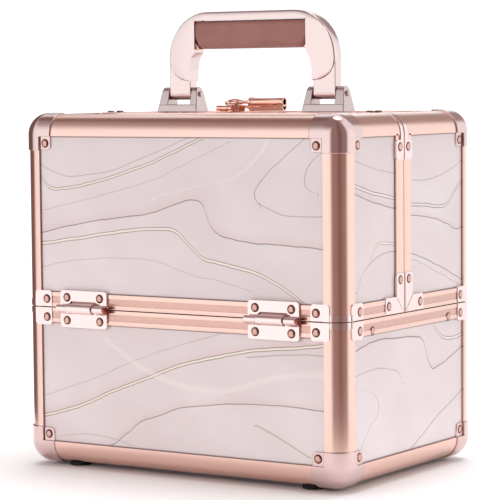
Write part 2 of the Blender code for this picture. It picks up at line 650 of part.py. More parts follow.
def hasp():
    """The hasp on the front lid: its hinge plate with a pin, and the plate that lies on the lock's front."""
    left, right = LOCK_X - LOCK_WIDTH / 2, LOCK_X + LOCK_WIDTH / 2
    third = LOCK_WIDTH / 4
    axis = (SEAM_Y - HASP_AXIS_OUT, BODY_TOP + HASP_AXIS_UP)
    low = BODY_TOP + GAP
    fixed = [box((left, axis[0] - 2 * HASP_KNUCKLE, low), (right, axis[0] + HASP_PIN_RADIUS, low + LOCK_PLATE))]
    for start, stop in ((left, left + third), (right - third, right)):
        fixed.append(rod("X", axis, HASP_KNUCKLE, start, stop, 20))
        fixed.append(box((start, axis[0] - HASP_PIN_RADIUS, low), (stop, axis[0] + HASP_PIN_RADIUS / 2, axis[1])))
    fixed.append(rod("X", axis, HASP_PIN_RADIUS, left + third / 2, right - third / 2, 16))
    node(union(fixed), "hasp_hinge_plate", "copper_chrome", hinge_point("front"))
    slope = math.atan2(LOCK_HEIGHT - LOCK_TOE - GAP, RAMP_RUN)
    near, far = GAP / math.sin(slope), (GAP + HASP_PLATE) / math.sin(slope)
    start, bend, tip = HASP_AXIS_UP - HASP_PLATE / 2, HASP_AXIS_UP + HASP_PLATE / 2, LOCK_HEIGHT - GAP
    top_edge = (ramp_y(tip) - near - HASP_PLATE * math.sin(slope), tip + HASP_PLATE * math.cos(slope))
    outline = [(axis[0], start), (ramp_y(start) - near, start), (ramp_y(tip) - near, tip), top_edge,
               (ramp_y(bend) - far, bend), (axis[0], bend)]
    outline = [(y, BODY_TOP + up) for y, up in outline]
    ends = (left + third + GAP, right - third - GAP)
    flap = union([rod("X", axis, HASP_KNUCKLE, *ends, 20), prism(outline, "X", *ends)])
    cut(flap, rod("X", axis, HASP_PIN_RADIUS + PIN_CLEARANCE, left, right, 16))
    node(flap, "hasp", "copper_chrome", (0, *axis))


def key(name, place):
    """A tubular key lying along X: bow with a hole, neck, collar and hollow barrel."""
    left, y, up = place
    z = BODY_TOP + up
    bow_end = left + KEY_BOW[0]
    collar = bow_end + KEY_NECK_LENGTH
    barrel = collar + KEY_COLLAR_LENGTH
    corner = KEY_BOW[1] / 2
    outline = arc((left + corner, y), corner, 90, 270, 10) + [(bow_end, y - corner / 2), (bow_end, y + corner / 2)]
    bow = prism(outline, "Z", z - KEY_BOW[2] / 2, z + KEY_BOW[2] / 2)
    solids = [bow, rod("X", (y, z), KEY_NECK_RADIUS, bow_end - LAP, collar + LAP, 16),
              rod("X", (y, z), KEY_COLLAR_RADIUS, collar, barrel),
              rod("X", (y, z), KEY_BARREL_RADIUS, barrel - LAP, barrel + KEY_BARREL_LENGTH)]
    whole = union(solids)
    cut(whole, rod("X", (y, z), KEY_BARREL_BORE, barrel + LAP, barrel + KEY_BARREL_LENGTH + LAP),
        rod("Z", (left + corner, y), KEY_HOLE_RADIUS, z - KEY_BOW[2], z + KEY_BOW[2]))
    node(whole, name, "copper_chrome", (left, y, z))


def main():
    """Clears the scene and builds every piece."""
    for old in list(bpy.data.objects):
        bpy.data.objects.remove(old)
    base_frame()
    for lid in LID_SIDE:
        lid_frame(lid)
    panels()
    linings()
    corner_caps()
    rubber_feet()
    lid_hinges()
    trays()
    tray_links()
    handle_feet()
    handle()
    lock()
    hasp()
    key("key_1", UPPER_KEY)
    key("key_2", LOWER_KEY)


main()
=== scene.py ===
"""Looks of the two-lid makeup train case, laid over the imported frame.

Sizes are in millimetres and are turned into metres by MM. Distances "in" are measured from the body's
outer faces, and z = 0 is the surface that the case stands on.
"""

import logging
import math
from collections.abc import Callable, Iterable, Sequence
from dataclasses import dataclass, field
from enum import Enum

import bmesh
import bpy
from mathutils import Matrix, Vector


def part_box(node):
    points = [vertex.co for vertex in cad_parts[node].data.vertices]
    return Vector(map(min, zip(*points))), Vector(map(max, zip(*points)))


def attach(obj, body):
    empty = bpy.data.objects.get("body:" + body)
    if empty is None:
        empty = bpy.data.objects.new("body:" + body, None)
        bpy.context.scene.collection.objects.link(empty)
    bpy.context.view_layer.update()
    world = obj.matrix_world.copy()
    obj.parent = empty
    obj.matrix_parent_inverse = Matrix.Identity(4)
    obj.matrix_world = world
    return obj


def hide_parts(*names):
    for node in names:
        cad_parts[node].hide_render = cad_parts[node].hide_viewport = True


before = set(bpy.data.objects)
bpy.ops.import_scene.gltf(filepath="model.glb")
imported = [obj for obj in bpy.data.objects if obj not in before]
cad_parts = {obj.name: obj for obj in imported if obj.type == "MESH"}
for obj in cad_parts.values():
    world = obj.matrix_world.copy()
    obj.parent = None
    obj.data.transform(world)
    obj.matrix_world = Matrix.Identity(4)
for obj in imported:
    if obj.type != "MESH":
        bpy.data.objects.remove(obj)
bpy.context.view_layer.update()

MM = 0.001
LOG = logging.getLogger("train_case")
Pair = tuple[float, float]
Colour = tuple[float, float, float]


class Lid(Enum):
    """The two lids, with the side of the case that each hinges on."""

    FRONT = -1
    BACK = 1

    @property
    def word(self) -> str:
        """The lid's word in node names."""
        return self.name.lower()

    @property
    def body(self) -> str:
        """The body that the lid is."""
        return f"{self.word}_lid"


HANDS = {"left": -1, "right": 1}


def corners(node: str) -> tuple[Vector, Vector]:
    """Lowest and highest corner of a CAD node in millimetres.

    Args:
        node: The node's name.

    Returns:
        The two corners.
    """
    low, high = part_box(node)
    return Vector(low) / MM, Vector(high) / MM


BASE_LOW, BASE_HIGH = corners("base_frame")
FRONT_LOW, FRONT_HIGH = corners("front_lid_frame")
BACK_LOW, BACK_HIGH = corners("back_lid_frame")
HALF_X, HALF_Y = BASE_HIGH.x, BASE_HIGH.y
BOTTOM, TOP = BASE_LOW.z, FRONT_HIGH.z
BASE_RIM, LID_RIM = BASE_HIGH.z, FRONT_LOW.z
SEAM = {Lid.FRONT: FRONT_HIGH.y, Lid.BACK: BACK_LOW.y}
EDGE_RADIUS, EDGE_WIDTH = 14.0, 15.0


# ---------------------------------------------------------------- meshes


def arc(centre: Pair, radius: float, start: float, end: float, steps: int) -> list[Pair]:
    """Points along an arc.

    Args:
        centre: Middle of the arc.
        radius: Its radius.
        start: First angle in degrees.
        end: Last angle in degrees.
        steps: Number of chords.

    Returns:
        The points, both ends included.
    """
    angles = [math.radians(start + (end - start) * i / steps) for i in range(steps + 1)]
    return [(centre[0] + radius * math.cos(a), centre[1] + radius * math.sin(a)) for a in angles]


def rounded(low: Pair, high: Pair, radii: Sequence[float], steps: int = 5) -> list[Pair]:
    """A rectangle with its own radius at each corner.

    Args:
        low: Lower left corner.
        high: Upper right corner.
        radii: Radii anticlockwise from the lower left corner.
        steps: Chords in each corner.

    Returns:
        The outline, anticlockwise.
    """
    places = ((low[0], low[1], 180), (high[0], low[1], 270), (high[0], high[1], 0), (low[0], high[1], 90))
    outline = []
    for (x, y, start), radius in zip(places, radii):
        towards_x = 1 if x == low[0] else -1
        towards_y = 1 if y == low[1] else -1
        if radius <= 0:
            outline.append((x, y))
            continue
        centre = (x + towards_x * radius, y + towards_y * radius)
        outline += arc(centre, radius, start, start + 90, steps)
    return outline


AXES = {"X": (1, 2, 0), "Y": (0, 2, 1), "Z": (0, 1, 2)}


class Shape:
    """A mesh under construction, in millimetres."""

    def __init__(self) -> None:
        """Starts an empty mesh."""
        self.mesh = bmesh.new()

    def prism(self, outline: Iterable[Pair], axis: str, start: float, end: float) -> "Shape":
        """Adds a closed bar with that outline across an axis.

        Args:
            outline: Points in the plane across the axis.
            axis: X, Y or Z.
            start: Where the bar starts on the axis.
            end: Where it ends.

        Returns:
            The shape itself.
        """
        first, second, along = AXES[axis]
        rings = []
        points = list(outline)
        for place in (start, end):
            ring = []
            for a, b in points:
                spot = [0.0, 0.0, 0.0]
                spot[first], spot[second], spot[along] = a, b, place
                ring.append(self.mesh.verts.new(spot))
            rings.append(ring)
        faces = [self.mesh.faces.new(ring) for ring in rings]
        for i in range(len(points)):
            j = (i + 1) % len(points)
            faces.append(self.mesh.faces.new((rings[0][i], rings[0][j], rings[1][j], rings[1][i])))
        bmesh.ops.recalc_face_normals(self.mesh, faces=faces)
        return self

    def lathe(self, profile: Sequence[Pair], axis: str, centre: Pair, sides: int = 32) -> "Shape":
        """Adds a turned solid.

        Args:
            profile: (place on the axis, radius) pairs; a radius of 0 closes an end.
            axis: X, Y or Z.
            centre: The axis in the plane across it.
            sides: Number of sides.

        Returns:
            The shape itself.
        """
        first, second, along = AXES[axis]
        rings, faces = [], []
        for place, radius in profile:
            count = sides if radius > 0 else 1
            ring = []
            for i in range(count):
                angle = 2 * math.pi * i / sides
                spot = [0.0, 0.0, 0.0]
                spot[first] = centre[0] + radius * math.cos(angle)
                spot[second] = centre[1] + radius * math.sin(angle)
                spot[along] = place
                ring.append(self.mesh.verts.new(spot))
            rings.append(ring)
        for a, b in zip(rings, rings[1:]):
            for i in range(sides):
                j = (i + 1) % sides
                spots = [a[i % len(a)], a[j % len(a)], b[j % len(b)], b[i % len(b)]]
                faces.append(self.mesh.faces.new(list(dict.fromkeys(spots))))
        bmesh.ops.recalc_face_normals(self.mesh, faces=faces)
        return self

    def grid(self, rows: Sequence[Sequence[Sequence[float]]], wrap: bool = False, caps: bool = False
             ) -> "Shape":
        """Adds a surface through rows of points.

        Args:
            rows: Rows of equally many points.
            wrap: Whether each row closes on itself.
            caps: Whether the first and last rows are filled.

        Returns:
            The shape itself.
        """
        made = [[self.mesh.verts.new(point) for point in row] for row in rows]
        faces = []
        for a, b in zip(made, made[1:]):
            for i in range(len(a) if wrap else len(a) - 1):
                j = (i + 1) % len(a)
                faces.append(self.mesh.faces.new((a[i], a[j], b[j], b[i])))
        if caps:
            faces += [self.mesh.faces.new(made[0]), self.mesh.faces.new(made[-1])]
        bmesh.ops.recalc_face_normals(self.mesh, faces=faces)
        return self

    def piece(self, name: str, smooth: float = 38.0) -> bpy.types.Object:
        """Turns the shape into an object in metres.

        Args:
            name: The object's name.
            smooth: Edges sharper than this many degrees stay sharp.

        Returns:
            The object, at the origin.
        """
        bmesh.ops.scale(self.mesh, vec=(MM, MM, MM), verts=self.mesh.verts)
        data = bpy.data.meshes.new(name)
        self.mesh.to_mesh(data)
        self.mesh.free()
        data.shade_smooth()
        data.set_sharp_from_angle(angle=math.radians(smooth))
        piece = bpy.data.objects.new(name, data)
        bpy.context.scene.collection.objects.link(piece)
        return piece


def apply_modifiers(piece: bpy.types.Object) -> None:
    """Turns a piece's modifiers into plain mesh.

    Args:
        piece: The piece, whose modifiers become plain mesh.
    """
    graph = bpy.context.evaluated_depsgraph_get()
    mesh = bpy.data.meshes.new_from_object(piece.evaluated_get(graph))
    piece.modifiers.clear()
    piece.data = mesh


def soften(piece: bpy.types.Object, width: float, segments: int = 2, angle: float = 35.0) -> bpy.types.Object:
    """Rounds a piece's edges.

    Args:
        piece: The piece.
        width: Width of the rounding in millimetres.
        segments: Its segments.
        angle: Only edges sharper than this many degrees are rounded.

    Returns:
        The piece.
    """
    bevel = piece.modifiers.new("soften", "BEVEL")
    bevel.width = width * MM
    bevel.segments = segments
    bevel.limit_method = "ANGLE"
    bevel.angle_limit = math.radians(angle)
    bevel.harden_normals = True
    apply_modifiers(piece)
    return piece


def thicken(piece: bpy.types.Object, wall: float, offset: float = -1.0) -> bpy.types.Object:
    """Gives a sheet its wall.

    Args:
        piece: The sheet.
        wall: Wall in millimetres.
        offset: -1 grows it inwards and 1 outwards.

    Returns:
        The piece.
    """
    solid = piece.modifiers.new("wall", "SOLIDIFY")
    solid.thickness = wall * MM
    solid.offset = offset
    apply_modifiers(piece)
    return piece


def refined(node: str, name: str, width: float, segments: int = 2) -> bpy.types.Object:
    """A copy of a CAD node with its edges rounded.

    Args:
        node: The CAD node.
        name: The new piece's name.
        width: Width of the rounding in millimetres.
        segments: Its segments.

    Returns:
        The new piece.
    """
    mesh = bmesh.new()
    mesh.from_mesh(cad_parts[node].data)
    bmesh.ops.remove_doubles(mesh, verts=mesh.verts, dist=1e-5)
    bmesh.ops.dissolve_limit(mesh, angle_limit=math.radians(2), verts=mesh.verts, edges=mesh.edges)
    data = bpy.data.meshes.new(name)
    mesh.to_mesh(data)
    mesh.free()
    data.shade_smooth()
    data.set_sharp_from_angle(angle=math.radians(38))
    piece = bpy.data.objects.new(name, data)
    bpy.context.scene.collection.objects.link(piece)
    return soften(piece, width, segments)


def fit(piece: bpy.types.Object, material: bpy.types.Material, slot: str, body: str, *nodes: str) -> None:
    """Dresses a piece and hangs it on its body.

    Args:
        piece: The finished piece.
        material: Its material.
        slot: The material slot's name; not used.
        body: The CAD body that it moves with.
        nodes: CAD nodes that it stands for.
    """
    piece.data.materials.clear()
    piece.data.materials.append(material)
    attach(piece, body)
    if nodes:
        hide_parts(*nodes)
    LOG.info("%s on %s: %d faces", piece.name, body, len(piece.data.polygons))


def dress(node: str, material: bpy.types.Material) -> None:
    """Gives a CAD node that stays its material.

    Args:
        node: The CAD node's name.
        material: The material.
    """
    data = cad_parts[node].data
    data.materials.clear()
    data.materials.append(material)
    LOG.info("%s keeps its shape", node)


# ---------------------------------------------------------------- finishes


class Sockets:
    """Short ways to add and join shader nodes in one material."""

    def __init__(self, name: str) -> None:
        """Starts a material with a bare Principled shader.

        Args:
            name: The piece's name.
        """
        self.material = bpy.data.materials.new(name)
        self.material.use_nodes = True
        self.tree = self.material.node_tree
        self.shader = self.tree.nodes["Principled BSDF"]
        self.object = self.add("ShaderNodeTexCoord").outputs["Object"]

    def add(self, kind: str, **settings: object) -> bpy.types.Node:
        """Adds a node and sets its properties.

        Args:
            kind: The node type.
            settings: Properties to set on the node.

        Returns:
            The node.
        """
        node = self.tree.nodes.new(kind)
        for key, value in settings.items():
            setattr(node, key, value)
        return node

    def feed(self, socket: bpy.types.NodeSocket, value: object) -> None:
        """Links a socket to another, or gives it a fixed value.

        Args:
            socket: The socket to feed.
            value: A socket or a fixed value.
        """
        if isinstance(value, bpy.types.NodeSocket):
            self.tree.links.new(value, socket)
        else:
            socket.default_value = value

    def maths(self, operation: str, *values: object, clamp: bool = False) -> bpy.types.NodeSocket:
        """A Math node over its values.

        Args:
            operation: The operation.
            values: The inputs in order.
            clamp: Whether the result stays in 0 to 1.

        Returns:
            The result.
        """
        node = self.add("ShaderNodeMath", operation=operation, use_clamp=clamp)
        for socket, value in zip(node.inputs, values):
            self.feed(socket, value)
        return node.outputs[0]

    def ranged(self, value: object, low: float, high: float, out_low: float, out_high: float,
               smooth: bool = True) -> bpy.types.NodeSocket:
        """A Map Range node from one range to another.

        Args:
            value: The value to map.
            low: Start of the range.
            high: End of the range.
            out_low: Result at the low end.
            out_high: Result at the high end.
            smooth: Whether the range eases in and out.

        Returns:
            The mapped value.
        """
        node = self.add("ShaderNodeMapRange", interpolation_type="SMOOTHSTEP" if smooth else "LINEAR")
        for key, entry in zip(("Value", "From Min", "From Max", "To Min", "To Max"),
                              (value, low, high, out_low, out_high)):
            self.feed(node.inputs[key], entry)
        return node.outputs[0]

    def scaled(self, scale: Sequence[float]) -> bpy.types.NodeSocket:
        """Object coordinates times a scale for each axis.

        Args:
            scale: Scale for each axis, in cells per metre.

        Returns:
            The scaled coordinates.
        """
        node = self.add("ShaderNodeMapping")
        self.feed(node.inputs["Vector"], self.object)
        node.inputs["Scale"].default_value = scale
        return node.outputs[0]

    def noise(self, scale: Sequence[float], detail: float = 2.0, rough: float = 0.5) -> bpy.types.NodeSocket:
        """Noise whose scale may differ along each axis, in cells per metre.

        Args:
            scale: Scale for each axis, in cells per metre.
            detail: Levels of detail.
            rough: Share of the fine levels.

        Returns:
            The noise, from 0 to 1.
        """
        node = self.add("ShaderNodeTexNoise")
        self.feed(node.inputs["Vector"], self.scaled(scale))
        node.inputs["Scale"].default_value = 1.0
        node.inputs["Detail"].default_value = detail
        node.inputs["Roughness"].default_value = rough
        return node.outputs["Fac"]

    def mix(self, factor: object, a: object, b: object, blend: str = "MIX") -> bpy.types.NodeSocket:
        """A colour mix.

        Args:
            factor: How much of the second colour.
            a: The first colour.
            b: The second colour.
            blend: The blend mode.

        Returns:
            The mixed colour.
        """
        node = self.add("ShaderNodeMix", data_type="RGBA", blend_type=blend)
        self.feed(node.inputs["Factor"], factor)
        for socket, value in ((node.inputs[6], a), (node.inputs[7], b)):
            self.feed(socket, (*value, 1.0) if isinstance(value, tuple) else value)
        return node.outputs[2]

    def bump(self, height: object, distance: float, strength: float = 1.0) -> None:
        """A bump of that height in metres on the shader.

        Args:
            height: The height field.
            distance: Height of the bump in metres.
            strength: Strength of the bump.
        """
        node = self.add("ShaderNodeBump")
        self.feed(node.inputs["Height"], height)
        node.inputs["Distance"].default_value = distance
        node.inputs["Strength"].default_value = strength
        self.feed(self.shader.inputs["Normal"], node.outputs[0])

    @classmethod
    def resume(cls, material: bpy.types.Material) -> "Sockets":
        """Goes on with a material that is already made.

        Args:
            material: The material.

        Returns:
            The helper.
        """
        helper = cls.__new__(cls)
        helper.material, helper.tree = material, material.node_tree
        kinds = {node.type: node for node in reversed(material.node_tree.nodes[:])}
        helper.shader = kinds["BSDF_PRINCIPLED"]
        helper.object = kinds["TEX_COORD"].outputs["Object"]
        return helper


class Grain(Enum):
    """Which way a metal's drawing lines run."""

    X = (1.0, 60.0, 60.0)
    Y = (60.0, 1.0, 60.0)
    Z = (60.0, 60.0, 1.0)
    NONE = (12.0, 12.0, 12.0)


@dataclass(frozen=True)
class Metal:
    """A plated or anodised metal with fine lines and slight unevenness."""

    name: str
    colour: Colour
    deep: Colour
    roughness: float
    spread: float
    relief: float = 0.0

    def material(self, grain: Grain = Grain.NONE) -> bpy.types.Material:
        """The metal with its lines along one axis.

        Args:
            grain: Which way the lines run.

        Returns:
            The material.
        """
        s = Sockets(f"{self.name}_{grain.name.lower()}")
        lines = s.noise(tuple(part * 160.0 for part in grain.value), 3.0)
        cloud = s.noise((22.0, 22.0, 22.0), 2.0)
        shade = s.ranged(lines, 0.35, 0.7, 0.0, 0.55)
        s.feed(s.shader.inputs["Base Color"], s.mix(shade, self.colour, self.deep))
        rough = s.maths("ADD", s.ranged(cloud, 0.3, 0.7, self.roughness, self.roughness + self.spread),
                        s.ranged(lines, 0.3, 0.7, 0.0, self.spread * 0.5))
        s.feed(s.shader.inputs["Roughness"], rough)
        s.shader.inputs["Metallic"].default_value = 1.0
        if self.relief:
            s.bump(lines, self.relief)
        return s.material


@dataclass(frozen=True)
class RivetCopper(Metal):
    """Polished copper with a painted dark reflection round the foot of each head."""

    # Colour of the painted dark reflection at the foot of each head.
    foot: Colour = (0.10, 0.035, 0.03)

    def material(self, grain: Grain = Grain.NONE) -> bpy.types.Material:
        """The copper, darkened by the crest attribute as a painted dark reflection: 0 at a head's foot, 1 on
        its crown.

        Args:
            grain: Which way the lines run.

        Returns:
            The material.
        """
        made = super().material(grain)
        s = Sockets.resume(made)
        crest = s.add("ShaderNodeAttribute")
        crest.attribute_name = "crest"
        colour = s.shader.inputs["Base Color"].links[0].from_socket
        # Painted dark reflection: each head turns to the dark foot colour towards its rim.
        painted_rim_shade = s.ranged(crest.outputs["Fac"], 0.34, 0.78, 1.0, 0.0)
        s.feed(s.shader.inputs["Base Color"], s.mix(painted_rim_shade, colour, self.foot))
        return made


@dataclass(frozen=True)
class Soft:
    """A coloured soft or moulded surface with a fine even grain."""

    name: str
    colour: Colour
    deep: Colour
    roughness: float
    cell: float
    relief: float
    sheen: float = 0.0
    pores: bool = False

    def material(self) -> bpy.types.Material:
        """The surface's material.

        Returns:
            The material.
        """
        s = Sockets(self.name)
        per_metre = 1.0 / (self.cell * MM)
        if self.pores:
            cells = s.add("ShaderNodeTexVoronoi", feature="DISTANCE_TO_EDGE")
            s.feed(cells.inputs["Vector"], s.object)
            cells.inputs["Scale"].default_value = per_metre
            grain = s.ranged(cells.outputs["Distance"], 0.0, 0.18, 0.0, 1.0)
        else:
            grain = s.noise((per_metre,) * 3, 3.0)
        cloud = s.noise((45.0, 45.0, 45.0), 3.0)
        fine, broad = s.ranged(grain, 0.0, 1.0, 0.0, 0.6), s.ranged(cloud, 0.3, 0.7, -0.2, 0.3)
        shade = s.maths("ADD", fine, broad, clamp=True)
        s.feed(s.shader.inputs["Base Color"], s.mix(shade, self.deep, self.colour))
        s.feed(s.shader.inputs["Roughness"], s.ranged(cloud, 0.3, 0.7, self.roughness, self.roughness + 0.08))
        s.shader.inputs["Sheen Weight"].default_value = self.sheen
        s.bump(grain, self.relief * MM)
        return s.material


class Ink(Enum):
    """The printed vein colours."""

    DARK = (0.13, 0.085, 0.07)
    FAINT = (0.33, 0.25, 0.22)
    GOLD = (0.36, 0.265, 0.13)
    WHITE = (0.95, 0.90, 0.86)
    BLUSH = (0.72, 0.45, 0.46)


@dataclass(frozen=True)
class Vein:
    """One printed vein: its path over a panel, its ink and its width in millimetres.

    The path runs along the panel's first direction, or up it where upright is set. With a core, the vein
    is two lines that far apart with cream between them, and the path is the upper one.
    """

    ink: Ink
    path: tuple[Pair, ...]
    width: float = 0.7
    strength: float = 0.85
    upright: bool = False
    halo: float = 0.0
    core: float = 0.0


@dataclass(frozen=True)
class Marble:
    """Pale pink stone print under a satin film, with its veins drawn for one panel."""

    name: str
    across: str
    up: str
    low: Pair
    high: Pair
    veins: tuple[Vein, ...]
    window: tuple[Pair, Pair]
    flip: bool = False

    def border(self, s: Sockets, split: bpy.types.Node) -> bpy.types.NodeSocket:
        """1 in the painted shadow along the joint between the panel and the lips round it, 0 elsewhere.

        Args:
            s: The material in the making.
            split: The split object coordinates.

        Returns:
            The factor.
        """
        rooms = []
        for i, axis in enumerate((self.across, self.up)):
            low, high = self.window[0][i] * MM, self.window[1][i] * MM
            away = s.maths("ABSOLUTE", s.maths("SUBTRACT", split.outputs[axis], (low + high) / 2))
            rooms.append(s.maths("SUBTRACT", (high - low) / 2, away))
        return s.ranged(s.maths("MINIMUM", *rooms), 0.3 * MM, 1.2 * MM, 0.78, 0.0)

    def material(self) -> bpy.types.Material:
        """The panel's printed material.

        Returns:
            The material.
        """
        s = Sockets(self.name)
        split = s.add("ShaderNodeSeparateXYZ")
        s.feed(split.inputs[0], s.object)
        wobble = s.noise((70.0, 70.0, 70.0), 2.0)
        wobble_up = s.noise((95.0, 80.0, 65.0), 1.0)
        places = []
        for axis, low, high, drift in ((self.across, self.low[0], self.high[0], wobble_up),
                                       (self.up, self.low[1], self.high[1], wobble)):
            ends = (high, low) if self.flip and axis == self.across else (low, high)
            place = s.maths("ADD", split.outputs[axis], s.ranged(drift, 0.0, 1.0, -0.8 * MM, 0.8 * MM, False))
            places.append(s.ranged(place, ends[0] * MM, ends[1] * MM, 0.0, 1.0, False))
        colour = self.ground(s)
        for vein in self.veins:
            colour = self.print_vein(s, colour, vein, places)
        # Painted shadow: the marble turns dark brown within about a millimetre of the lips, where the panel
        # runs into them.
        colour = s.mix(self.border(s, split), colour, (0.16, 0.095, 0.085))
        s.feed(s.shader.inputs["Base Color"], colour)
        s.shader.inputs["Roughness"].default_value = 0.34
        s.shader.inputs["Specular IOR Level"].default_value = 0.4
        s.shader.inputs["Coat Weight"].default_value = 0.25
        s.shader.inputs["Coat Roughness"].default_value = 0.18
        s.bump(s.noise((900.0, 900.0, 900.0), 1.0), 0.00001)
        return s.material

    @staticmethod
    def ground(s: Sockets) -> bpy.types.NodeSocket:
        """The stone between the veins: soft drifts of pale pink and grey.

        Args:
            s: The material in the making.

        Returns:
            The stone's colour.
        """
        drift = s.noise((9.0, 9.0, 14.0), 3.0, 0.55)
        flow = s.add("ShaderNodeTexWave", wave_type="BANDS", bands_direction="DIAGONAL")
        s.feed(flow.inputs["Vector"], s.object)
        flow.inputs["Scale"].default_value = 9.0
        flow.inputs["Distortion"].default_value = 7.0
        flow.inputs["Detail"].default_value = 2.0
        flow.inputs["Detail Scale"].default_value = 1.4
        pale = s.mix(s.ranged(drift, 0.38, 0.66, 0.0, 1.0), (0.80, 0.705, 0.715), (0.845, 0.765, 0.775))
        return s.mix(s.maths("MULTIPLY", flow.outputs["Fac"], 0.16), pale, (0.74, 0.60, 0.61))

    def print_vein(self, s: Sockets, under: object, vein: Vein, places: Sequence[bpy.types.NodeSocket]
                   ) -> bpy.types.NodeSocket:
        """Prints one vein over what is there.

        Args:
            s: The material.
            under: Colour under the vein.
            vein: The vein.
            places: Place over the panel, from 0 to 1 each way.

        Returns:
            The colour with the vein on it.
        """
        run, side = (1, 0) if vein.upright else (0, 1)
        spans = [self.high[i] - self.low[i] for i in (0, 1)]
        points = [((x - self.low[0]) / spans[0], (y - self.low[1]) / spans[1]) for x, y in vein.path]
        if vein.upright:
            points = [(y, x) for x, y in points]
        points.sort()
        curve = s.add("ShaderNodeFloatCurve")
        line = curve.mapping.curves[0]
        curve.mapping.use_clip = False
        curve.mapping.extend = "HORIZONTAL"
        line.points[0].location, line.points[1].location = points[0], points[-1]
        for point in points[1:-1]:
            line.points.new(*point)
        curve.mapping.update()
        s.feed(curve.inputs["Value"], places[run])
        off = s.maths("MULTIPLY", s.maths("SUBTRACT", places[side], curve.outputs[0]), spans[side])
        near = s.ranged(s.maths("ABSOLUTE", off), vein.width * 0.35, vein.width, 1.0, 0.0)
        taper = 4.0 / spans[run]
        begin = s.ranged(places[run], points[0][0] - taper, points[0][0], 0.0, 1.0)
        finish = s.ranged(places[run], points[-1][0], points[-1][0] + taper, 1.0, 0.0)
        there = s.maths("MULTIPLY", s.maths("MULTIPLY", begin, finish), vein.strength)
        if vein.halo:
            shade = s.ranged(off, 0.0, vein.halo, 0.30, 0.0)
            after = s.maths("MULTIPLY", s.maths("MULTIPLY", shade, s.maths("GREATER_THAN", off, 0.0)), there)
            under = s.mix(after, under, Ink.BLUSH.value)
        if vein.core:
            beside = s.maths("ABSOLUTE", s.maths("ADD", off, vein.core))
            near = s.maths("MAXIMUM", near, s.ranged(beside, vein.width * 0.35, vein.width, 1.0, 0.0))
            inside = s.maths("ABSOLUTE", s.maths("ADD", off, vein.core / 2))
            filled = s.ranged(inside, vein.core * 0.30, vein.core * 0.55, 0.85, 0.0)
            cream = s.maths("MULTIPLY", filled, there)
            under = s.mix(cream, under, Ink.WHITE.value)
        return s.mix(s.maths("MULTIPLY", near, there), under, vein.ink.value)


ROSE = Metal("rose_aluminium", (0.84, 0.575, 0.505), (0.76, 0.49, 0.415), 0.17, 0.05, 0.000003)
# A darker copy of the rose aluminium for the strips in the rim grooves: painted shade in the groove.
GROOVE_SHADE = Metal("satin_inlay", (0.60, 0.365, 0.31), (0.74, 0.475, 0.41), 0.26, 0.06, 0.000004)
CHROME = Metal("pink_chrome", (0.855, 0.69, 0.67), (0.81, 0.63, 0.61), 0.085, 0.04)
CAP = Metal("cap_chrome", (0.72, 0.54, 0.525), (0.66, 0.475, 0.46), 0.10, 0.04)
ARCH = Metal("arch_chrome", (0.74, 0.60, 0.59), (0.69, 0.545, 0.535), 0.12, 0.04)
FORK = Metal("fork_satin", (0.58, 0.475, 0.465), (0.52, 0.42, 0.41), 0.24, 0.06)
# Rivet copper, painted darker round the foot of each head as a dark reflection.
COPPER = RivetCopper("copper_rivet", (0.66, 0.39, 0.33), (0.54, 0.29, 0.24), 0.20, 0.06)
PIN = Metal("pin_copper", (0.42, 0.13, 0.10), (0.30, 0.09, 0.07), 0.15, 0.06)
# A dark disc a little wider than each rivet head: painted shade round the head.
RIVET_SHADE_RING = Metal("rivet_seat", (0.20, 0.085, 0.075), (0.14, 0.06, 0.05), 0.30, 0.08)
COPPER_CHROME = Metal("copper_chrome", (0.91, 0.57, 0.46), (0.86, 0.44, 0.33), 0.07, 0.05)
STEEL = Metal("link_steel", (0.62, 0.60, 0.58), (0.52, 0.50, 0.49), 0.28, 0.08, 0.000006)
VELOUR = Soft("lining_velour", (0.035, 0.03, 0.032), (0.012, 0.010, 0.011), 0.85, 0.35, 0.12, 0.35)
TRAY_SHELL = Soft("tray_plastic", (0.042, 0.038, 0.040), (0.030, 0.027, 0.028), 0.42, 0.6, 0.03)
RUBBER = Soft("black_rubber", (0.022, 0.021, 0.021), (0.012, 0.012, 0.012), 0.62, 0.4, 0.04)
LEATHER = Soft("rose_leather", (0.44, 0.195, 0.165), (0.33, 0.135, 0.115), 0.48, 1.1, 0.09, 0.15, True)


FRONT_LID_VEINS = (
    Vein(Ink.FAINT, ((-115, 212), (-95, 204), (-81, 204), (-53, 208), (-27, 217), (12, 231)), 0.5, 0.5),
    Vein(Ink.GOLD, ((-114, 204), (-106, 196), (-95, 196), (-67, 201), (-34, 210), (-6, 220), (20, 231)),
         0.45, 0.85, core=1.7),
    Vein(Ink.FAINT, ((-117, 179), (-54, 193), (-14, 204), (12, 215), (42, 228)), 0.45, 0.35),
    Vein(Ink.DARK, ((-117, 163), (-81, 171), (-46, 176), (-20, 180), (-1, 186), (15, 189), (21, 186),
         (24, 179), (28, 171), (34, 166), (43, 164), (58, 162), (83, 161), (117, 159)), 0.5, 0.75,
         halo=7.0),
    Vein(Ink.GOLD, ((-117, 157), (-82, 162), (-41, 168), (-12, 170), (-2, 169), (5, 164), (14, 156),
         (19, 152), (30, 149), (58, 144), (70, 140), (85, 133), (102, 122), (112, 116)), 0.45, 0.9, core=2.0),
    Vein(Ink.FAINT, ((-117, 139), (-89, 145), (-48, 148), (-18, 147), (11, 139), (37, 135), (58, 130)),
         0.45, 0.35),
    Vein(Ink.DARK, ((102, 231), (83, 217), (66, 201), (62, 193), (67, 187)), 0.5, 0.65, upright=True),
    Vein(Ink.FAINT, ((66, 188), (83, 181), (99, 180), (117, 181)), 0.5, 0.6),
    Vein(Ink.DARK, ((114, 221), (104, 213), (101, 206), (102, 199), (112, 195)), 0.45, 0.6, upright=True),
    Vein(Ink.WHITE, ((74, 231), (60, 214), (44, 204), (20, 199), (-20, 190)), 2.4, 0.35, upright=True),
)
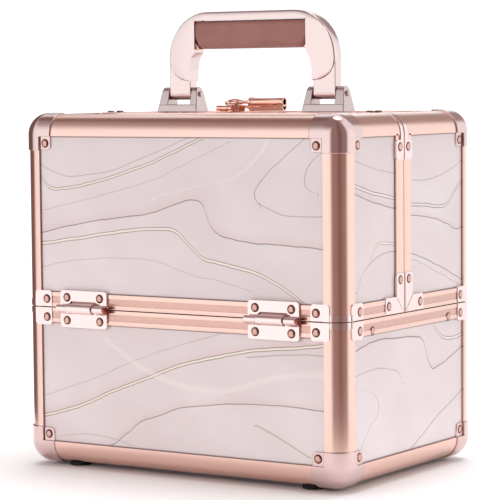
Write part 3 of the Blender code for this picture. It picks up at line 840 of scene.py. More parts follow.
FRONT_BASE_VEINS = (
    Vein(Ink.GOLD, ((-117, 36), (-98, 41), (-81, 46), (-56, 57), (-29, 67), (-3, 77), (23, 84), (57, 91),
         (82, 94), (117, 98)), 0.5, 0.9, halo=6.0, core=1.9),
    Vein(Ink.FAINT, ((57, 86), (82, 89), (95, 90), (117, 90)), 0.5, 0.65),
    Vein(Ink.FAINT, ((-117, 49), (-69, 65), (-35, 79), (-9, 88), (36, 101)), 0.45, 0.4),
    Vein(Ink.DARK, ((-56, 19), (-43, 28), (-33, 36), (-20, 41), (0, 48), (23, 52), (57, 55), (117, 54)),
         0.5, 0.7, halo=6.0),
    Vein(Ink.GOLD, ((62, 41), (82, 33), (102, 23)), 0.8, 0.55),
    Vein(Ink.FAINT, ((-100, 22), (-70, 25), (-40, 20)), 0.5, 0.35),
    Vein(Ink.WHITE, ((-60, 92), (-20, 70), (30, 62), (80, 74), (117, 78)), 3.0, 0.3),
)
SIDE_FRONT_VEINS = (
    Vein(Ink.FAINT, ((-76, 217), (-47, 210), (-20, 206)), 0.5, 0.5),
    Vein(Ink.DARK, ((-77, 202), (-53, 196), (-16, 190)), 0.42, 0.75, core=2.0),
    Vein(Ink.DARK, ((-77, 196), (-48, 188), (-16, 182)), 0.5, 0.7, halo=6.0),
    Vein(Ink.FAINT, ((-70, 130), (-66, 138), (-53, 148), (-37, 153), (-16, 154)), 0.5, 0.7),
    Vein(Ink.GOLD, ((-51, 151), (-46, 159), (-33, 161), (-16, 158)), 0.4, 0.7, core=1.6),
)
SIDE_BACK_VEINS = (
    Vein(Ink.FAINT, ((0, 201), (22, 200), (51, 204), (77, 212)), 0.5, 0.55),
    Vein(Ink.DARK, ((0, 185), (22, 184), (48, 182), (57, 185), (64, 191), (77, 199)), 0.45, 0.75,
         halo=0.0, core=1.8),
    Vein(Ink.DARK, ((0, 177), (29, 174), (52, 169), (68, 164), (77, 166)), 0.5, 0.7, halo=5.0),
    Vein(Ink.DARK, ((0, 152), (22, 146), (45, 139), (77, 127)), 0.5, 0.7),
    Vein(Ink.FAINT, ((0, 148), (22, 142), (45, 134), (77, 123)), 0.4, 0.6),
)
SIDE_BASE_VEINS = (
    Vein(Ink.DARK, ((-77, 91), (-60, 95), (-43, 97), (-22, 96), (8, 94), (18, 91), (22, 84), (26, 76),
         (32, 70), (40, 71), (59, 76), (77, 82)), 0.55, 0.8, halo=4.0),
    Vein(Ink.DARK, ((30, 106), (37, 98), (43, 93), (52, 90), (77, 91)), 0.42, 0.75, core=1.9),
    Vein(Ink.FAINT, ((-77, 75), (-49, 78), (-29, 76), (-14, 71), (-10, 64)), 0.5, 0.55),
    Vein(Ink.FAINT, ((-74, 67), (-54, 64), (-45, 59), (-43, 51), (-53, 41), (-67, 27)), 0.5, 0.55,
         upright=True),
    Vein(Ink.DARK, ((-6, 16), (17, 26), (40, 37), (59, 44), (77, 52)), 0.5, 0.65),
)


# ---------------------------------------------------------------- aluminium sections


@dataclass(frozen=True)
class Sections:
    """The drawn aluminium sections: quarter-round edges and the grooved rim and seam strips."""

    wall: float = 1.2
    depth: float = 5.8
    rim_width: float = 10.3
    seam_width: float = 9.5
    groove: float = 0.3
    bed: float = 0.4
    swell: float = 0.22
    groove_start: float = 0.26
    groove_stop: float = 0.72
    steps: int = 14
    tongue_out: float = 0.35
    tongue_in: float = 1.15

    def edge(self) -> list[Pair]:
        """The quarter-round section as distances in from the two faces.

        Returns:
            The outline.
        """
        r, w = EDGE_RADIUS, EDGE_WIDTH
        outline = [(w, 0.0)] + arc((r, r), r, 270, 180, self.steps) + [(0.0, w), (self.wall, w)]
        outline += arc((r, r), r - self.wall, 180, 225, 5)
        outline += arc((r, r), r - self.wall, 225, 270, 5)[1:] + [(w, self.wall)]
        return outline

    def strip(self, width: float, flat: bool = False) -> list[Pair]:
        """The flat strip with a groove along it.

        Args:
            width: The strip's width.
            flat: Whether the groove is a shallow flat bed for the darker strip of painted shade, not a soft
                hollow.

        Returns:
            The outline as distance in from the free edge, and depth.
        """
        start, stop = width * self.groove_start, width * self.groove_stop
        half, deep = (stop - start) / 2, self.groove
        outline = [(0.0, 0.35), (0.1, 0.1), (0.35, 0.0)]
        if flat:
            outline += [(start, 0.0), (start + 0.15, self.bed), (stop - 0.15, self.bed), (stop, 0.0)]
        else:
            for i in range(9):
                angle = math.radians(-90 + 22.5 * i)
                outline.append((start + half * (1 + math.sin(angle)), deep * (1 + math.cos(2 * angle)) / 2))
        outline += [(width - 0.3, 0.0), (width - 0.05, 0.1), (width, 0.3), (width, self.wall)]
        outline += [(self.wall, self.wall), (self.wall, self.depth), (0.0, self.depth)]
        return outline

    def inlay(self) -> list[Pair]:
        """The slightly crowned strip of painted shade in the rim's groove: distance in from the strip's free
        edge, and depth.

        Returns:
            The outline.
        """
        start, stop = self.rim_width * self.groove_start + 0.2, self.rim_width * self.groove_stop - 0.2
        width = stop - start
        crown = [(start + width * i / 6, self.bed - self.swell * math.sin(math.pi * i / 6)) for i in range(7)]
        return crown + [(stop, self.bed + 0.3), (start, self.bed + 0.3)]

    def base(self) -> None:
        """Edges, posts and rim of the base."""
        reach_x, reach_y = HALF_X - EDGE_RADIUS, HALF_Y - EDGE_RADIUS
        edges_x, edges_y, posts, rim_x, rim_y, groove_shade_x, groove_shade_y = (Shape() for _ in range(7))
        for side in (-1, 1):
            edges_x.prism([(side * (HALF_Y - a), BOTTOM + b) for a, b in self.edge()], "X", -reach_x, reach_x)
            edges_y.prism([(side * (HALF_X - a), BOTTOM + b) for a, b in self.edge()], "Y", -reach_y, reach_y)
            strip, inlay = self.strip(self.rim_width, True), self.inlay()
            outline = [(side * (HALF_Y - d), BASE_RIM - a) for a, d in strip]
            rim_x.prism(outline, "X", -reach_x - 1, reach_x + 1)
            outline = [(side * (HALF_X - d), BASE_RIM - a) for a, d in strip]
            rim_y.prism(outline, "Y", -reach_y - 1, reach_y + 1)
            groove_shade_x.prism([(side * (HALF_Y - d), BASE_RIM - a) for a, d in inlay], "X", -reach_x, reach_x)
            groove_shade_y.prism([(side * (HALF_X - d), BASE_RIM - a) for a, d in inlay], "Y", -reach_y, reach_y)
            for other in (-1, 1):
                outline = [(other * (HALF_X - a), side * (HALF_Y - b)) for a, b in self.edge()]
                posts.prism(outline, "Z", BOTTOM + EDGE_RADIUS, BASE_RIM)
        along = ((edges_x, Grain.X, "bottom_edges_long"), (edges_y, Grain.Y, "bottom_edges_short"),
                 (posts, Grain.Z, "posts"), (rim_x, Grain.X, "rim_long"), (rim_y, Grain.Y, "rim_short"))
        for shape, grain, word in along:
            fit(shape.piece(f"base_{word}"), ROSE.material(grain), "rose_aluminium", "base", "base_frame")
        # Darker strips in the rim grooves: painted shade.
        for shape, grain, word in ((groove_shade_x, Grain.X, "long"), (groove_shade_y, Grain.Y, "short")):
            fit(shape.piece(f"base_inlay_{word}"), GROOVE_SHADE.material(grain), "rose_aluminium", "base")

    def lid(self, lid: Lid) -> None:
        """Edges, posts, rim and seam strips of one lid.

        Args:
            lid: The lid.
        """
        side, seam = lid.value, SEAM[lid]
        reach_x, reach_y = HALF_X - EDGE_RADIUS, side * (HALF_Y - EDGE_RADIUS)
        edge_x, edges_y, posts, rim_x, rim_y, seam_z, seam_x, groove_shade_x, groove_shade_y = (Shape() for _ in range(9))
        edge_x.prism([(side * (HALF_Y - a), TOP - b) for a, b in self.edge()], "X", -reach_x, reach_x)
        rim, strip, inlay = self.strip(self.rim_width, True), self.strip(self.seam_width), self.inlay()
        rim_x.prism([(side * (HALF_Y - d), LID_RIM + a) for a, d in rim], "X", -reach_x - 1, reach_x + 1)
        groove_shade_x.prism([(side * (HALF_Y - d), LID_RIM + a) for a, d in inlay], "X", -reach_x, reach_x)
        seam_x.prism([(seam + side * a, TOP - d) for a, d in strip], "X", -reach_x - 1, reach_x + 1)
        for end in (-1, 1):
            edges_y.prism([(end * (HALF_X - a), TOP - b) for a, b in self.edge()], "Y", reach_y, seam)
            posts.prism([(end * (HALF_X - a), side * (HALF_Y - b)) for a, b in self.edge()], "Z",
                        LID_RIM, TOP - EDGE_RADIUS)
            rim_y.prism([(end * (HALF_X - d), LID_RIM + a) for a, d in rim], "Y",
                        reach_y + side, seam + side * self.seam_width / 2)
            groove_shade_y.prism([(end * (HALF_X - d), LID_RIM + a) for a, d in inlay], "Y",
                          reach_y, seam + side * self.seam_width / 2)
            outline = [(end * (HALF_X - d), seam + side * a) for a, d in strip]
            seam_z.prism(outline, "Z", LID_RIM, TOP - EDGE_RADIUS)
        along = ((edge_x, Grain.X, "top_edge_long"), (edges_y, Grain.Y, "top_edges_short"),
                 (posts, Grain.Z, "posts"), (rim_x, Grain.X, "rim_long"), (rim_y, Grain.Y, "rim_short"),
                 (seam_z, Grain.Z, "seam_uprights"), (seam_x, Grain.X, "seam_top_strip"))
        if lid is Lid.BACK:
            self.tongue()
        # Darker strips in the rim grooves: painted shade.
        for shape, grain, word in ((groove_shade_x, Grain.X, "long"), (groove_shade_y, Grain.Y, "short")):
            fit(shape.piece(f"{lid.body}_inlay_{word}"), GROOVE_SHADE.material(grain), "rose_aluminium", lid.body)
        for shape, grain, word in along:
            name = f"{lid.body}_{word}"
            fit(shape.piece(name), ROSE.material(grain), "rose_aluminium", lid.body, f"{lid.body}_frame")

    def tongue(self) -> None:
        """The back lid's lip that closes the seam between the lids."""
        near, far = SEAM[Lid.FRONT] + 0.12, SEAM[Lid.BACK] + 0.6
        out, deep, reach = self.tongue_out, self.tongue_in, HALF_X - EDGE_RADIUS
        shape = Shape()
        for end in (-1, 1):

            def bend(inwards: float, degrees: float) -> Pair:
                """A point on the bend of the top edge.

                Args:
                    inwards: Distance in from the outer face.
                    degrees: How far round the bend, from the side to the top.

                Returns:
                    The point, across and up.
                """
                turn, radius = math.radians(degrees), EDGE_RADIUS - inwards
                rise = TOP - EDGE_RADIUS + radius * math.sin(turn)
                return end * reach + end * radius * math.cos(turn), rise

            across = [(end * (HALF_X - out), near), (end * (HALF_X - out), far),
                      (end * (HALF_X - deep), far), (end * (HALF_X - deep), near)]
            shape.prism(across, "Z", LID_RIM + 0.2, TOP - EDGE_RADIUS)
            round_top = [bend(out, a) for a in range(0, 91, 6)] + [bend(deep, a) for a in range(90, -1, -6)]
            shape.prism(round_top, "Y", near, far)
        flat = [(near, TOP - out), (far, TOP - out), (far, TOP - deep), (near, TOP - deep)]
        shape.prism(flat, "X", -reach, reach)
        fit(shape.piece("back_lid_seam_tongue"), ROSE.material(Grain.Z), "rose_aluminium", Lid.BACK.body)

    def build(self) -> None:
        """Builds every section."""
        self.base()
        for lid in Lid:
            self.lid(lid)


# ---------------------------------------------------------------- corner caps


@dataclass(frozen=True)
class CornerCaps:
    """Polished caps round the eight corners, each with riveted tabs on two upright faces and one flat."""

    proud: float = 1.0
    wall: float = 1.7
    arm: float = 15.4
    reach: float = 25.0
    tab_end: float = 24.6
    tab_gap: float = 0.35
    tab_top: float = 0.5
    tab_wall: float = 2.0
    tab_radius: float = 3.0
    rivet_in: float = 20.0
    edge_round: float = 0.6

    def samples(self) -> list[float]:
        """Distances in along one edge, closer together round the ball.

        Returns:
            The distances.
        """
        radius = EDGE_RADIUS
        ball = [radius * (1 - math.tan(math.radians(45 - 45 * i / 8))) for i in range(9)]
        return ball + [self.arm, (self.arm + self.reach) / 2, self.reach]

    def on_body(self, a: float, b: float, c: float) -> list[float]:
        """A point of the sharp corner moved onto the cap's rounded skin.

        Args:
            a: Distance in from the first face.
            b: Distance in from the second face.
            c: Distance in from the third face.

        Returns:
            The point.
        """
        radius = EDGE_RADIUS
        inner = [max(value, radius) for value in (a, b, c)]
        away = Vector((a, b, c)) - Vector(inner)
        away = away.normalized() * (radius + self.proud)
        return [inner[i] + away[i] for i in range(3)]

    def shell(self, signs: Sequence[int], name: str) -> bpy.types.Object:
        """One cap at the corner that the signs name.

        Args:
            signs: Which corner, as a sign for each axis.
            name: The piece's name.

        Returns:
            The cap's shell.
        """
        shape = Shape()
        samples = self.samples()
        origin = (signs[0] * HALF_X, signs[1] * HALF_Y, TOP if signs[2] > 0 else BOTTOM)
        vertices = {}

        def vertex(a: float, b: float, c: float) -> bmesh.types.BMVert:
            """The shared vertex at those distances in.

            Args:
                a: Distance in from the first face.
                b: Distance in from the second face.
                c: Distance in from the third face.

            Returns:
                The vertex.
            """
            key = (round(a, 4), round(b, 4), round(c, 4))
            if key not in vertices:
                skin = self.on_body(a, b, c)
                place = [origin[i] - signs[i] * skin[i] for i in range(3)]
                vertices[key] = shape.mesh.verts.new(place)
            return vertices[key]

        for face in range(3):
            for i in range(len(samples) - 1):
                for j in range(len(samples) - 1):
                    if samples[i] >= self.arm and samples[j] >= self.arm:
                        continue
                    ring = []
                    for u, v in ((i, j), (i + 1, j), (i + 1, j + 1), (i, j + 1)):
                        spot = [samples[u], samples[v]]
                        spot.insert(face, 0.0)
                        ring.append(vertex(*spot))
                    shape.mesh.faces.new(ring)
        bmesh.ops.recalc_face_normals(shape.mesh, faces=shape.mesh.faces)
        centre = Vector([origin[i] - signs[i] * self.reach for i in range(3)])
        probe = next(iter(shape.mesh.faces))
        if (probe.calc_center_median() - centre).dot(probe.normal) < 0:
            bmesh.ops.reverse_faces(shape.mesh, faces=shape.mesh.faces)
        shell = thicken(shape.piece(name, 50.0), self.wall)
        return soften(shell, self.edge_round, 2, 50.0)

    def tabs(self, signs: Sequence[int], name: str) -> bpy.types.Object:
        """The three flat tabs at panel level.

        Args:
            signs: Which corner, as a sign for each axis.
            name: The piece's name.

        Returns:
            The cap's tabs.
        """
        shape = Shape()
        z = TOP if signs[2] > 0 else BOTTOM
        low, high = (self.arm + self.tab_gap, self.arm - 0.8), (self.tab_end,) * 2
        outline = rounded(low, high, (0, 0, self.tab_radius, 0))
        for axis, origin, first, second in (("X", (signs[0], HALF_X), (signs[1], HALF_Y), (signs[2], 0)),
                                            ("Y", (signs[1], HALF_Y), (signs[0], HALF_X), (signs[2], 0)),
                                            ("Z", (signs[2], 0), (signs[0], HALF_X), (signs[1], HALF_Y))):
            points = []
            for a, b in outline:
                u = first[0] * (first[1] - a)
                v = z - second[0] * b if second[1] == 0 else second[0] * (second[1] - b)
                points.append((u, v))
            base = z if axis == "Z" else origin[0] * origin[1]
            shape.prism(points, axis, base - origin[0] * self.tab_top,
                        base - origin[0] * (self.tab_top + self.tab_wall))
        return soften(shape.piece(name), self.edge_round, 3)

    def build(self, rivets: "Rivets") -> None:
        """Builds the eight caps and books their rivets.

        Args:
            rivets: Where the rivets are booked.
        """
        chrome = CAP.material()
        for lid in Lid:
            for hand, end in HANDS.items():
                for up, word, body in ((-1, f"base_corner_{lid.word}_{hand}", "base"),
                                       (1, f"{lid.body}_corner_{hand}", lid.body)):
                    signs = (end, lid.value, up)
                    fit(self.shell(signs, f"{word}_cap"), chrome, "pink_chrome", body, word)
                    fit(self.tabs(signs, f"{word}_tabs"), chrome, "pink_chrome", body)
                    self.book(rivets, signs, body)

    def book(self, rivets: "Rivets", signs: Sequence[int], body: str) -> None:
        """Books one rivet on each tab.

        Args:
            rivets: Where the rivets are booked.
            signs: Which corner, as a sign for each axis.
            body: The CAD body that the piece rides on.
        """
        z = (TOP if signs[2] > 0 else BOTTOM) - signs[2] * self.rivet_in
        x, y = signs[0] * (HALF_X - self.rivet_in), signs[1] * (HALF_Y - self.rivet_in)
        rivets.add(body, (x, signs[1] * (HALF_Y - self.tab_top), z), (0, signs[1], 0))
        rivets.add(body, (signs[0] * (HALF_X - self.tab_top), y, z), (signs[0], 0, 0))
        flat = (TOP if signs[2] > 0 else BOTTOM) - signs[2] * self.tab_top
        rivets.add(body, (x, y, flat), (0, 0, signs[2]))


# ---------------------------------------------------------------- brackets


@dataclass(frozen=True)
class CornerStrap:
    """A bracket that grips a rounded edge: a lug on each face and a narrow band between them."""

    lug: float = 11.0
    band: float = 3.9
    start: float = 24.6
    neck: float = 10.4
    proud: float = 0.42
    wall: float = 1.6
    corner: float = 2.4
    edge_round: float = 0.5

    def height(self, run: float, lug: float) -> float:
        """Height of the bracket where it is run millimetres along from the end of a lug.

        Args:
            run: Distance from the bracket's nearer end.
            lug: Height of the lugs.

        Returns:
            The bracket's height there.
        """
        length = self.start - self.neck
        if run < self.corner:
            return lug - self.corner + math.sqrt(max(self.corner**2 - (self.corner - run) ** 2, 0.0))
        if run < length - self.corner:
            return lug
        if run < length:
            gone = run - (length - self.corner)
            return lug - self.corner + math.sqrt(max(self.corner**2 - gone**2, 0.0))
        return self.band

    def path(self) -> list[tuple[Pair, float]]:
        """Points (in from one face, in from the other) along the bracket with its run from the nearer end.

        Returns:
            The points and their runs.
        """
        radius, points = EDGE_RADIUS, []
        length = self.start - self.neck
        runs = [self.corner * (1 - math.cos(math.radians(18 * i))) for i in range(6)]
        runs += [length - self.corner + self.corner * math.sin(math.radians(18 * i)) for i in range(6)]
        runs += [length + 0.02, self.start - radius]
        runs = sorted(set(runs))
        flat = [((self.start - run, -self.proud), run) for run in runs]
        points += flat
        turn = arc((radius, radius), radius + self.proud, 270, 180, 14)
        points += [(spot, self.start) for spot in turn[1:-1]]
        points += [((b, a), run) for (a, b), run in reversed(flat)]
        return points

    def sheet(self, place: Callable[[float, float, float], list[float]], lug: float, name: str
              ) -> bpy.types.Object:
        """Builds one bracket.

        Args:
            place: Turns (in from the first face, in from the second, height) into a point.
            lug: Height of its lugs.
            name: The piece's name.

        Returns:
            The bracket.
        """
        rows = []
        for (a, b), run in self.path():
            top = self.height(run, lug)
            rows.append([place(a, b, 0.0), place(a, b, min(self.band, top) * 0.9), place(a, b, top)])
        shape = Shape().grid(rows)
        shape.mesh.faces.ensure_lookup_table()
        probe = shape.mesh.faces[0]
        outward = Vector(place(self.start, -50.0, 0.0)) - Vector(place(self.start, 0.0, 0.0))
        if probe.normal.dot(outward) < 0:
            bmesh.ops.reverse_faces(shape.mesh, faces=shape.mesh.faces)
        return soften(thicken(shape.piece(name, 50.0), self.wall), self.edge_round, 3, 50.0)


@dataclass(frozen=True)
class Brackets:
    """Rim corner brackets, seam brackets over the top edge, and the tee brackets at the foot of the seam."""

    strap: CornerStrap = field(default_factory=CornerStrap)
    seam_strap: CornerStrap = field(
        default_factory=lambda: CornerStrap(lug=10.0, band=3.7, start=31.0, neck=18.0, corner=2.0))
    rim_gap: float = 0.3
    tee_width: float = 10.4
    tee_height: float = 26.6
    tee_length: float = 25.2
    tee_rise: float = 11.2
    tee_proud: float = 0.42
    tee_depth: float = 1.0
    tee_split: float = 0.25
    tee_round: float = 0.4

    def build(self, rivets: "Rivets") -> None:
        """Builds all brackets and books their rivets.

        Args:
            rivets: Where the rivets are booked.
        """
        chrome = CHROME.material()
        for lid in Lid:
            for hand, end in HANDS.items():
                for up, body in ((-1, "base"), (1, lid.body)):
                    self.rim_corner(lid, hand, end, up, body, chrome, rivets)
                self.seam_top(lid, hand, end, chrome, rivets)
                self.tee(lid, hand, end, chrome, rivets)

    def rim_corner(self, lid: Lid, hand: str, end: int, up: int, body: str, chrome: bpy.types.Material,
                   rivets: "Rivets") -> None:
        """One bracket round a post at the rim.

        Args:
            lid: The lid.
            hand: Left or right, as in node names.
            end: -1 at the left end and 1 at the right.
            up: 1 above the rim gap and -1 below it.
            body: The CAD body that the piece rides on.
            chrome: The plates' finish.
            rivets: Where the rivets are booked.
        """
        rim = (LID_RIM if up > 0 else BASE_RIM) + up * self.rim_gap
        lug = self.strap.lug if up > 0 else self.strap.lug + 0.9

        def place(a: float, b: float, height: float) -> list[float]:
            """A point on the bracket."""
            return [end * (HALF_X - a), lid.value * (HALF_Y - b), rim + up * height]

        word = "lid" if up > 0 else "base"
        name = f"{lid.word}_{hand}_{word}_rim_bracket"
        fit(self.strap.sheet(place, lug, name), chrome, "pink_chrome", body)
        inwards, height = 20.4, rim + up * (5.2 if up > 0 else 6.3)
        proud, side = self.strap.proud, lid.value
        rivets.add(body, (end * (HALF_X - inwards), side * (HALF_Y + proud), height), (0, side, 0))
        rivets.add(body, (end * (HALF_X + proud), side * (HALF_Y - inwards), height), (end, 0, 0))

    def seam_top(self, lid: Lid, hand: str, end: int, chrome: bpy.types.Material, rivets: "Rivets") -> None:
        """One bracket over the top edge beside the seam.

        Args:
            lid: The lid.
            hand: Left or right, as in node names.
            end: -1 at the left end and 1 at the right.
            chrome: The plates' finish.
            rivets: Where the rivets are booked.
        """
        seam = SEAM[lid] + lid.value * self.rim_gap

        def place(a: float, b: float, height: float) -> list[float]:
            """A point on the bracket."""
            return [end * (HALF_X - b), seam + lid.value * height, TOP - a]

        name = f"{lid.word}_{hand}_seam_bracket"
        fit(self.seam_strap.sheet(place, self.seam_strap.lug, name), chrome, "pink_chrome", lid.body)
        y = seam + lid.value * 4.7
        rivets.add(lid.body, (end * (HALF_X + self.strap.proud), y, TOP - 22.6), (end, 0, 0))
        rivets.add(lid.body, (end * (HALF_X - 22.6), y, TOP + self.strap.proud), (0, 0, 1))

    def tee(self, lid: Lid, hand: str, end: int, chrome: bpy.types.Material, rivets: "Rivets") -> None:
        """Half of the tee at the foot of the seam: a level arm and an upright arm that meet in a mitre.

        Args:
            lid: The lid.
            hand: Left or right, as in node names.
            end: -1 at the left end and 1 at the right.
            chrome: The plates' finish.
            rivets: Where the rivets are booked.
        """
        side, seam = lid.value, SEAM[lid] + lid.value * self.rim_gap
        foot = LID_RIM + self.rim_gap
        face = end * HALF_X
        width, length, rise, height = self.tee_width, self.tee_length, self.tee_rise, self.tee_height
        split = self.tee_split
        arm = [(split, 0.0), (length - 1.2, 0.0), (length, 1.2)]
        arm += arc((length - 2.6, rise - 2.6), 2.6, 0, 90, 5) + [(width + split, rise)]
        upright = [(0.0, split), (width, rise + split), (width, height - 2.4)]
        upright += arc((width - 2.4, height - 2.4), 2.4, 0, 90, 5) + [(0.0, height)]
        shape = Shape()
        for outline in (arm, upright):
            points = [(seam + side * a, foot + b) for a, b in outline]
            shape.prism(points, "X", face - end * self.tee_depth, face + end * self.tee_proud)
        name = f"{lid.word}_{hand}_tee_bracket"
        fit(soften(shape.piece(name), self.tee_round, 3), chrome, "pink_chrome", lid.body)
        proud = face + end * self.tee_proud
        rivets.add(lid.body, (proud, seam + side * 4.9, foot + 22.0), (end, 0, 0))
        rivets.add(lid.body, (proud, seam + side * 20.6, foot + 5.4), (end, 0, 0))


# ---------------------------------------------------------------- rivets


@dataclass
class Rivets:
    """Domed copper rivets, set by a Geometry Nodes tree on booked points."""

    radius: float = 2.75
    # Radius of the dark ring of painted shade under each head.
    seat: float = 3.15
    dome: float = 1.3
    low_dome: float = 0.58
    seat_rise: float = 0.16
    points: dict[str, list[tuple[tuple[float, ...], tuple[float, ...]]]] = field(default_factory=dict)

    def add(self, body: str, place: Sequence[float], aim: Sequence[float]) -> None:
        """Books a rivet on a body.

        Args:
            body: The CAD body.
            place: Foot of the rivet in millimetres.
            aim: Which way its head points.
        """
        self.points.setdefault(body, []).append((tuple(place), tuple(aim)))

    def tree(self, material: bpy.types.Material) -> bpy.types.GeometryNodeTree:
        """The tree that puts a domed head on every point.

        Args:
            material: The heads' material.

        Returns:
            The tree, with Radius as an input in metres; each point's aim is as long as its dome is high.
        """
        tree = bpy.data.node_groups.new("domed_rivets", "GeometryNodeTree")
        tree.interface.new_socket("Geometry", in_out="INPUT", socket_type="NodeSocketGeometry")
        for word, value in (("Radius", self.radius),):
            socket = tree.interface.new_socket(word, in_out="INPUT", socket_type="NodeSocketFloat")
            socket.default_value = value * MM
        tree.interface.new_socket("Geometry", in_out="OUTPUT", socket_type="NodeSocketGeometry")
        nodes, link = tree.nodes, tree.links.new
        given, done = nodes.new("NodeGroupInput"), nodes.new("NodeGroupOutput")
        ball = nodes.new("GeometryNodeMeshUVSphere")
        ball.inputs["Segments"].default_value = 24
        ball.inputs["Rings"].default_value = 12
        ball.inputs["Radius"].default_value = 1.0
        size = nodes.new("ShaderNodeCombineXYZ")
        for word in ("X", "Y"):
            link(given.outputs["Radius"], size.inputs[word])
        split = nodes.new("ShaderNodeSeparateXYZ")
        link(nodes.new("GeometryNodeInputPosition").outputs[0], split.inputs[0])
        crest = nodes.new("GeometryNodeStoreNamedAttribute")
        crest.data_type, crest.domain = "FLOAT", "POINT"
        crest.inputs["Name"].default_value = "crest"
        link(ball.outputs["Mesh"], crest.inputs["Geometry"])
        link(split.outputs["Z"], crest.inputs["Value"])
        aim = nodes.new("GeometryNodeInputNamedAttribute")
        aim.data_type = "FLOAT_VECTOR"
        aim.inputs["Name"].default_value = "aim"
        height = nodes.new("ShaderNodeVectorMath")
        height.operation = "LENGTH"
        link(aim.outputs["Attribute"], height.inputs[0])
        link(height.outputs["Value"], size.inputs["Z"])
        turn = nodes.new("FunctionNodeAlignEulerToVector")
        turn.axis = "Z"
        link(aim.outputs["Attribute"], turn.inputs["Vector"])
        spread = nodes.new("GeometryNodeInstanceOnPoints")
        link(given.outputs["Geometry"], spread.inputs["Points"])
        link(crest.outputs["Geometry"], spread.inputs["Instance"])
        link(size.outputs[0], spread.inputs["Scale"])
        link(turn.outputs["Rotation"], spread.inputs["Rotation"])
        smooth = nodes.new("GeometryNodeSetShadeSmooth")
        real = nodes.new("GeometryNodeRealizeInstances")
        paint = nodes.new("GeometryNodeSetMaterial")
        paint.inputs["Material"].default_value = material
        link(spread.outputs["Instances"], real.inputs["Geometry"])
        link(real.outputs["Geometry"], smooth.inputs["Geometry"])
        link(smooth.outputs["Geometry"], paint.inputs["Geometry"])
        link(paint.outputs["Geometry"], done.inputs["Geometry"])
        return tree

    def build(self) -> None:
        """Makes the heads and the dark rings under them, painted shade round each head, one mesh of each for
        every body.
        """
        # The dark rings are painted shade round the heads.
        for word, finish, radius in (("heads", COPPER, self.radius), ("seats", RIVET_SHADE_RING, self.seat)):
            material = finish.material()
            tree = self.tree(material)
            for body, booked in self.points.items():
                data = bpy.data.meshes.new(f"{body}_rivet_{word}")
                data.from_pydata([[value * MM for value in place] for place, _ in booked], [], [])
                aims = data.attributes.new("aim", "FLOAT_VECTOR", "POINT")
                for entry, (_, aim) in zip(aims.data, booked):
                    rise = self.seat_rise if word == "seats" else self.low_dome if aim[0] else self.dome
                    entry.vector = Vector(aim) * rise * MM
                piece = bpy.data.objects.new(f"{body}_rivet_{word}", data)
                bpy.context.scene.collection.objects.link(piece)
                set_by = piece.modifiers.new("rivets", "NODES")
                set_by.node_group = tree
                sockets = {item.name: item.identifier for item in tree.interface.items_tree}
                set_by[sockets["Radius"]] = radius * MM
                apply_modifiers(piece)
                fit(piece, material, "copper_chrome", body)


# ---------------------------------------------------------------- hinges


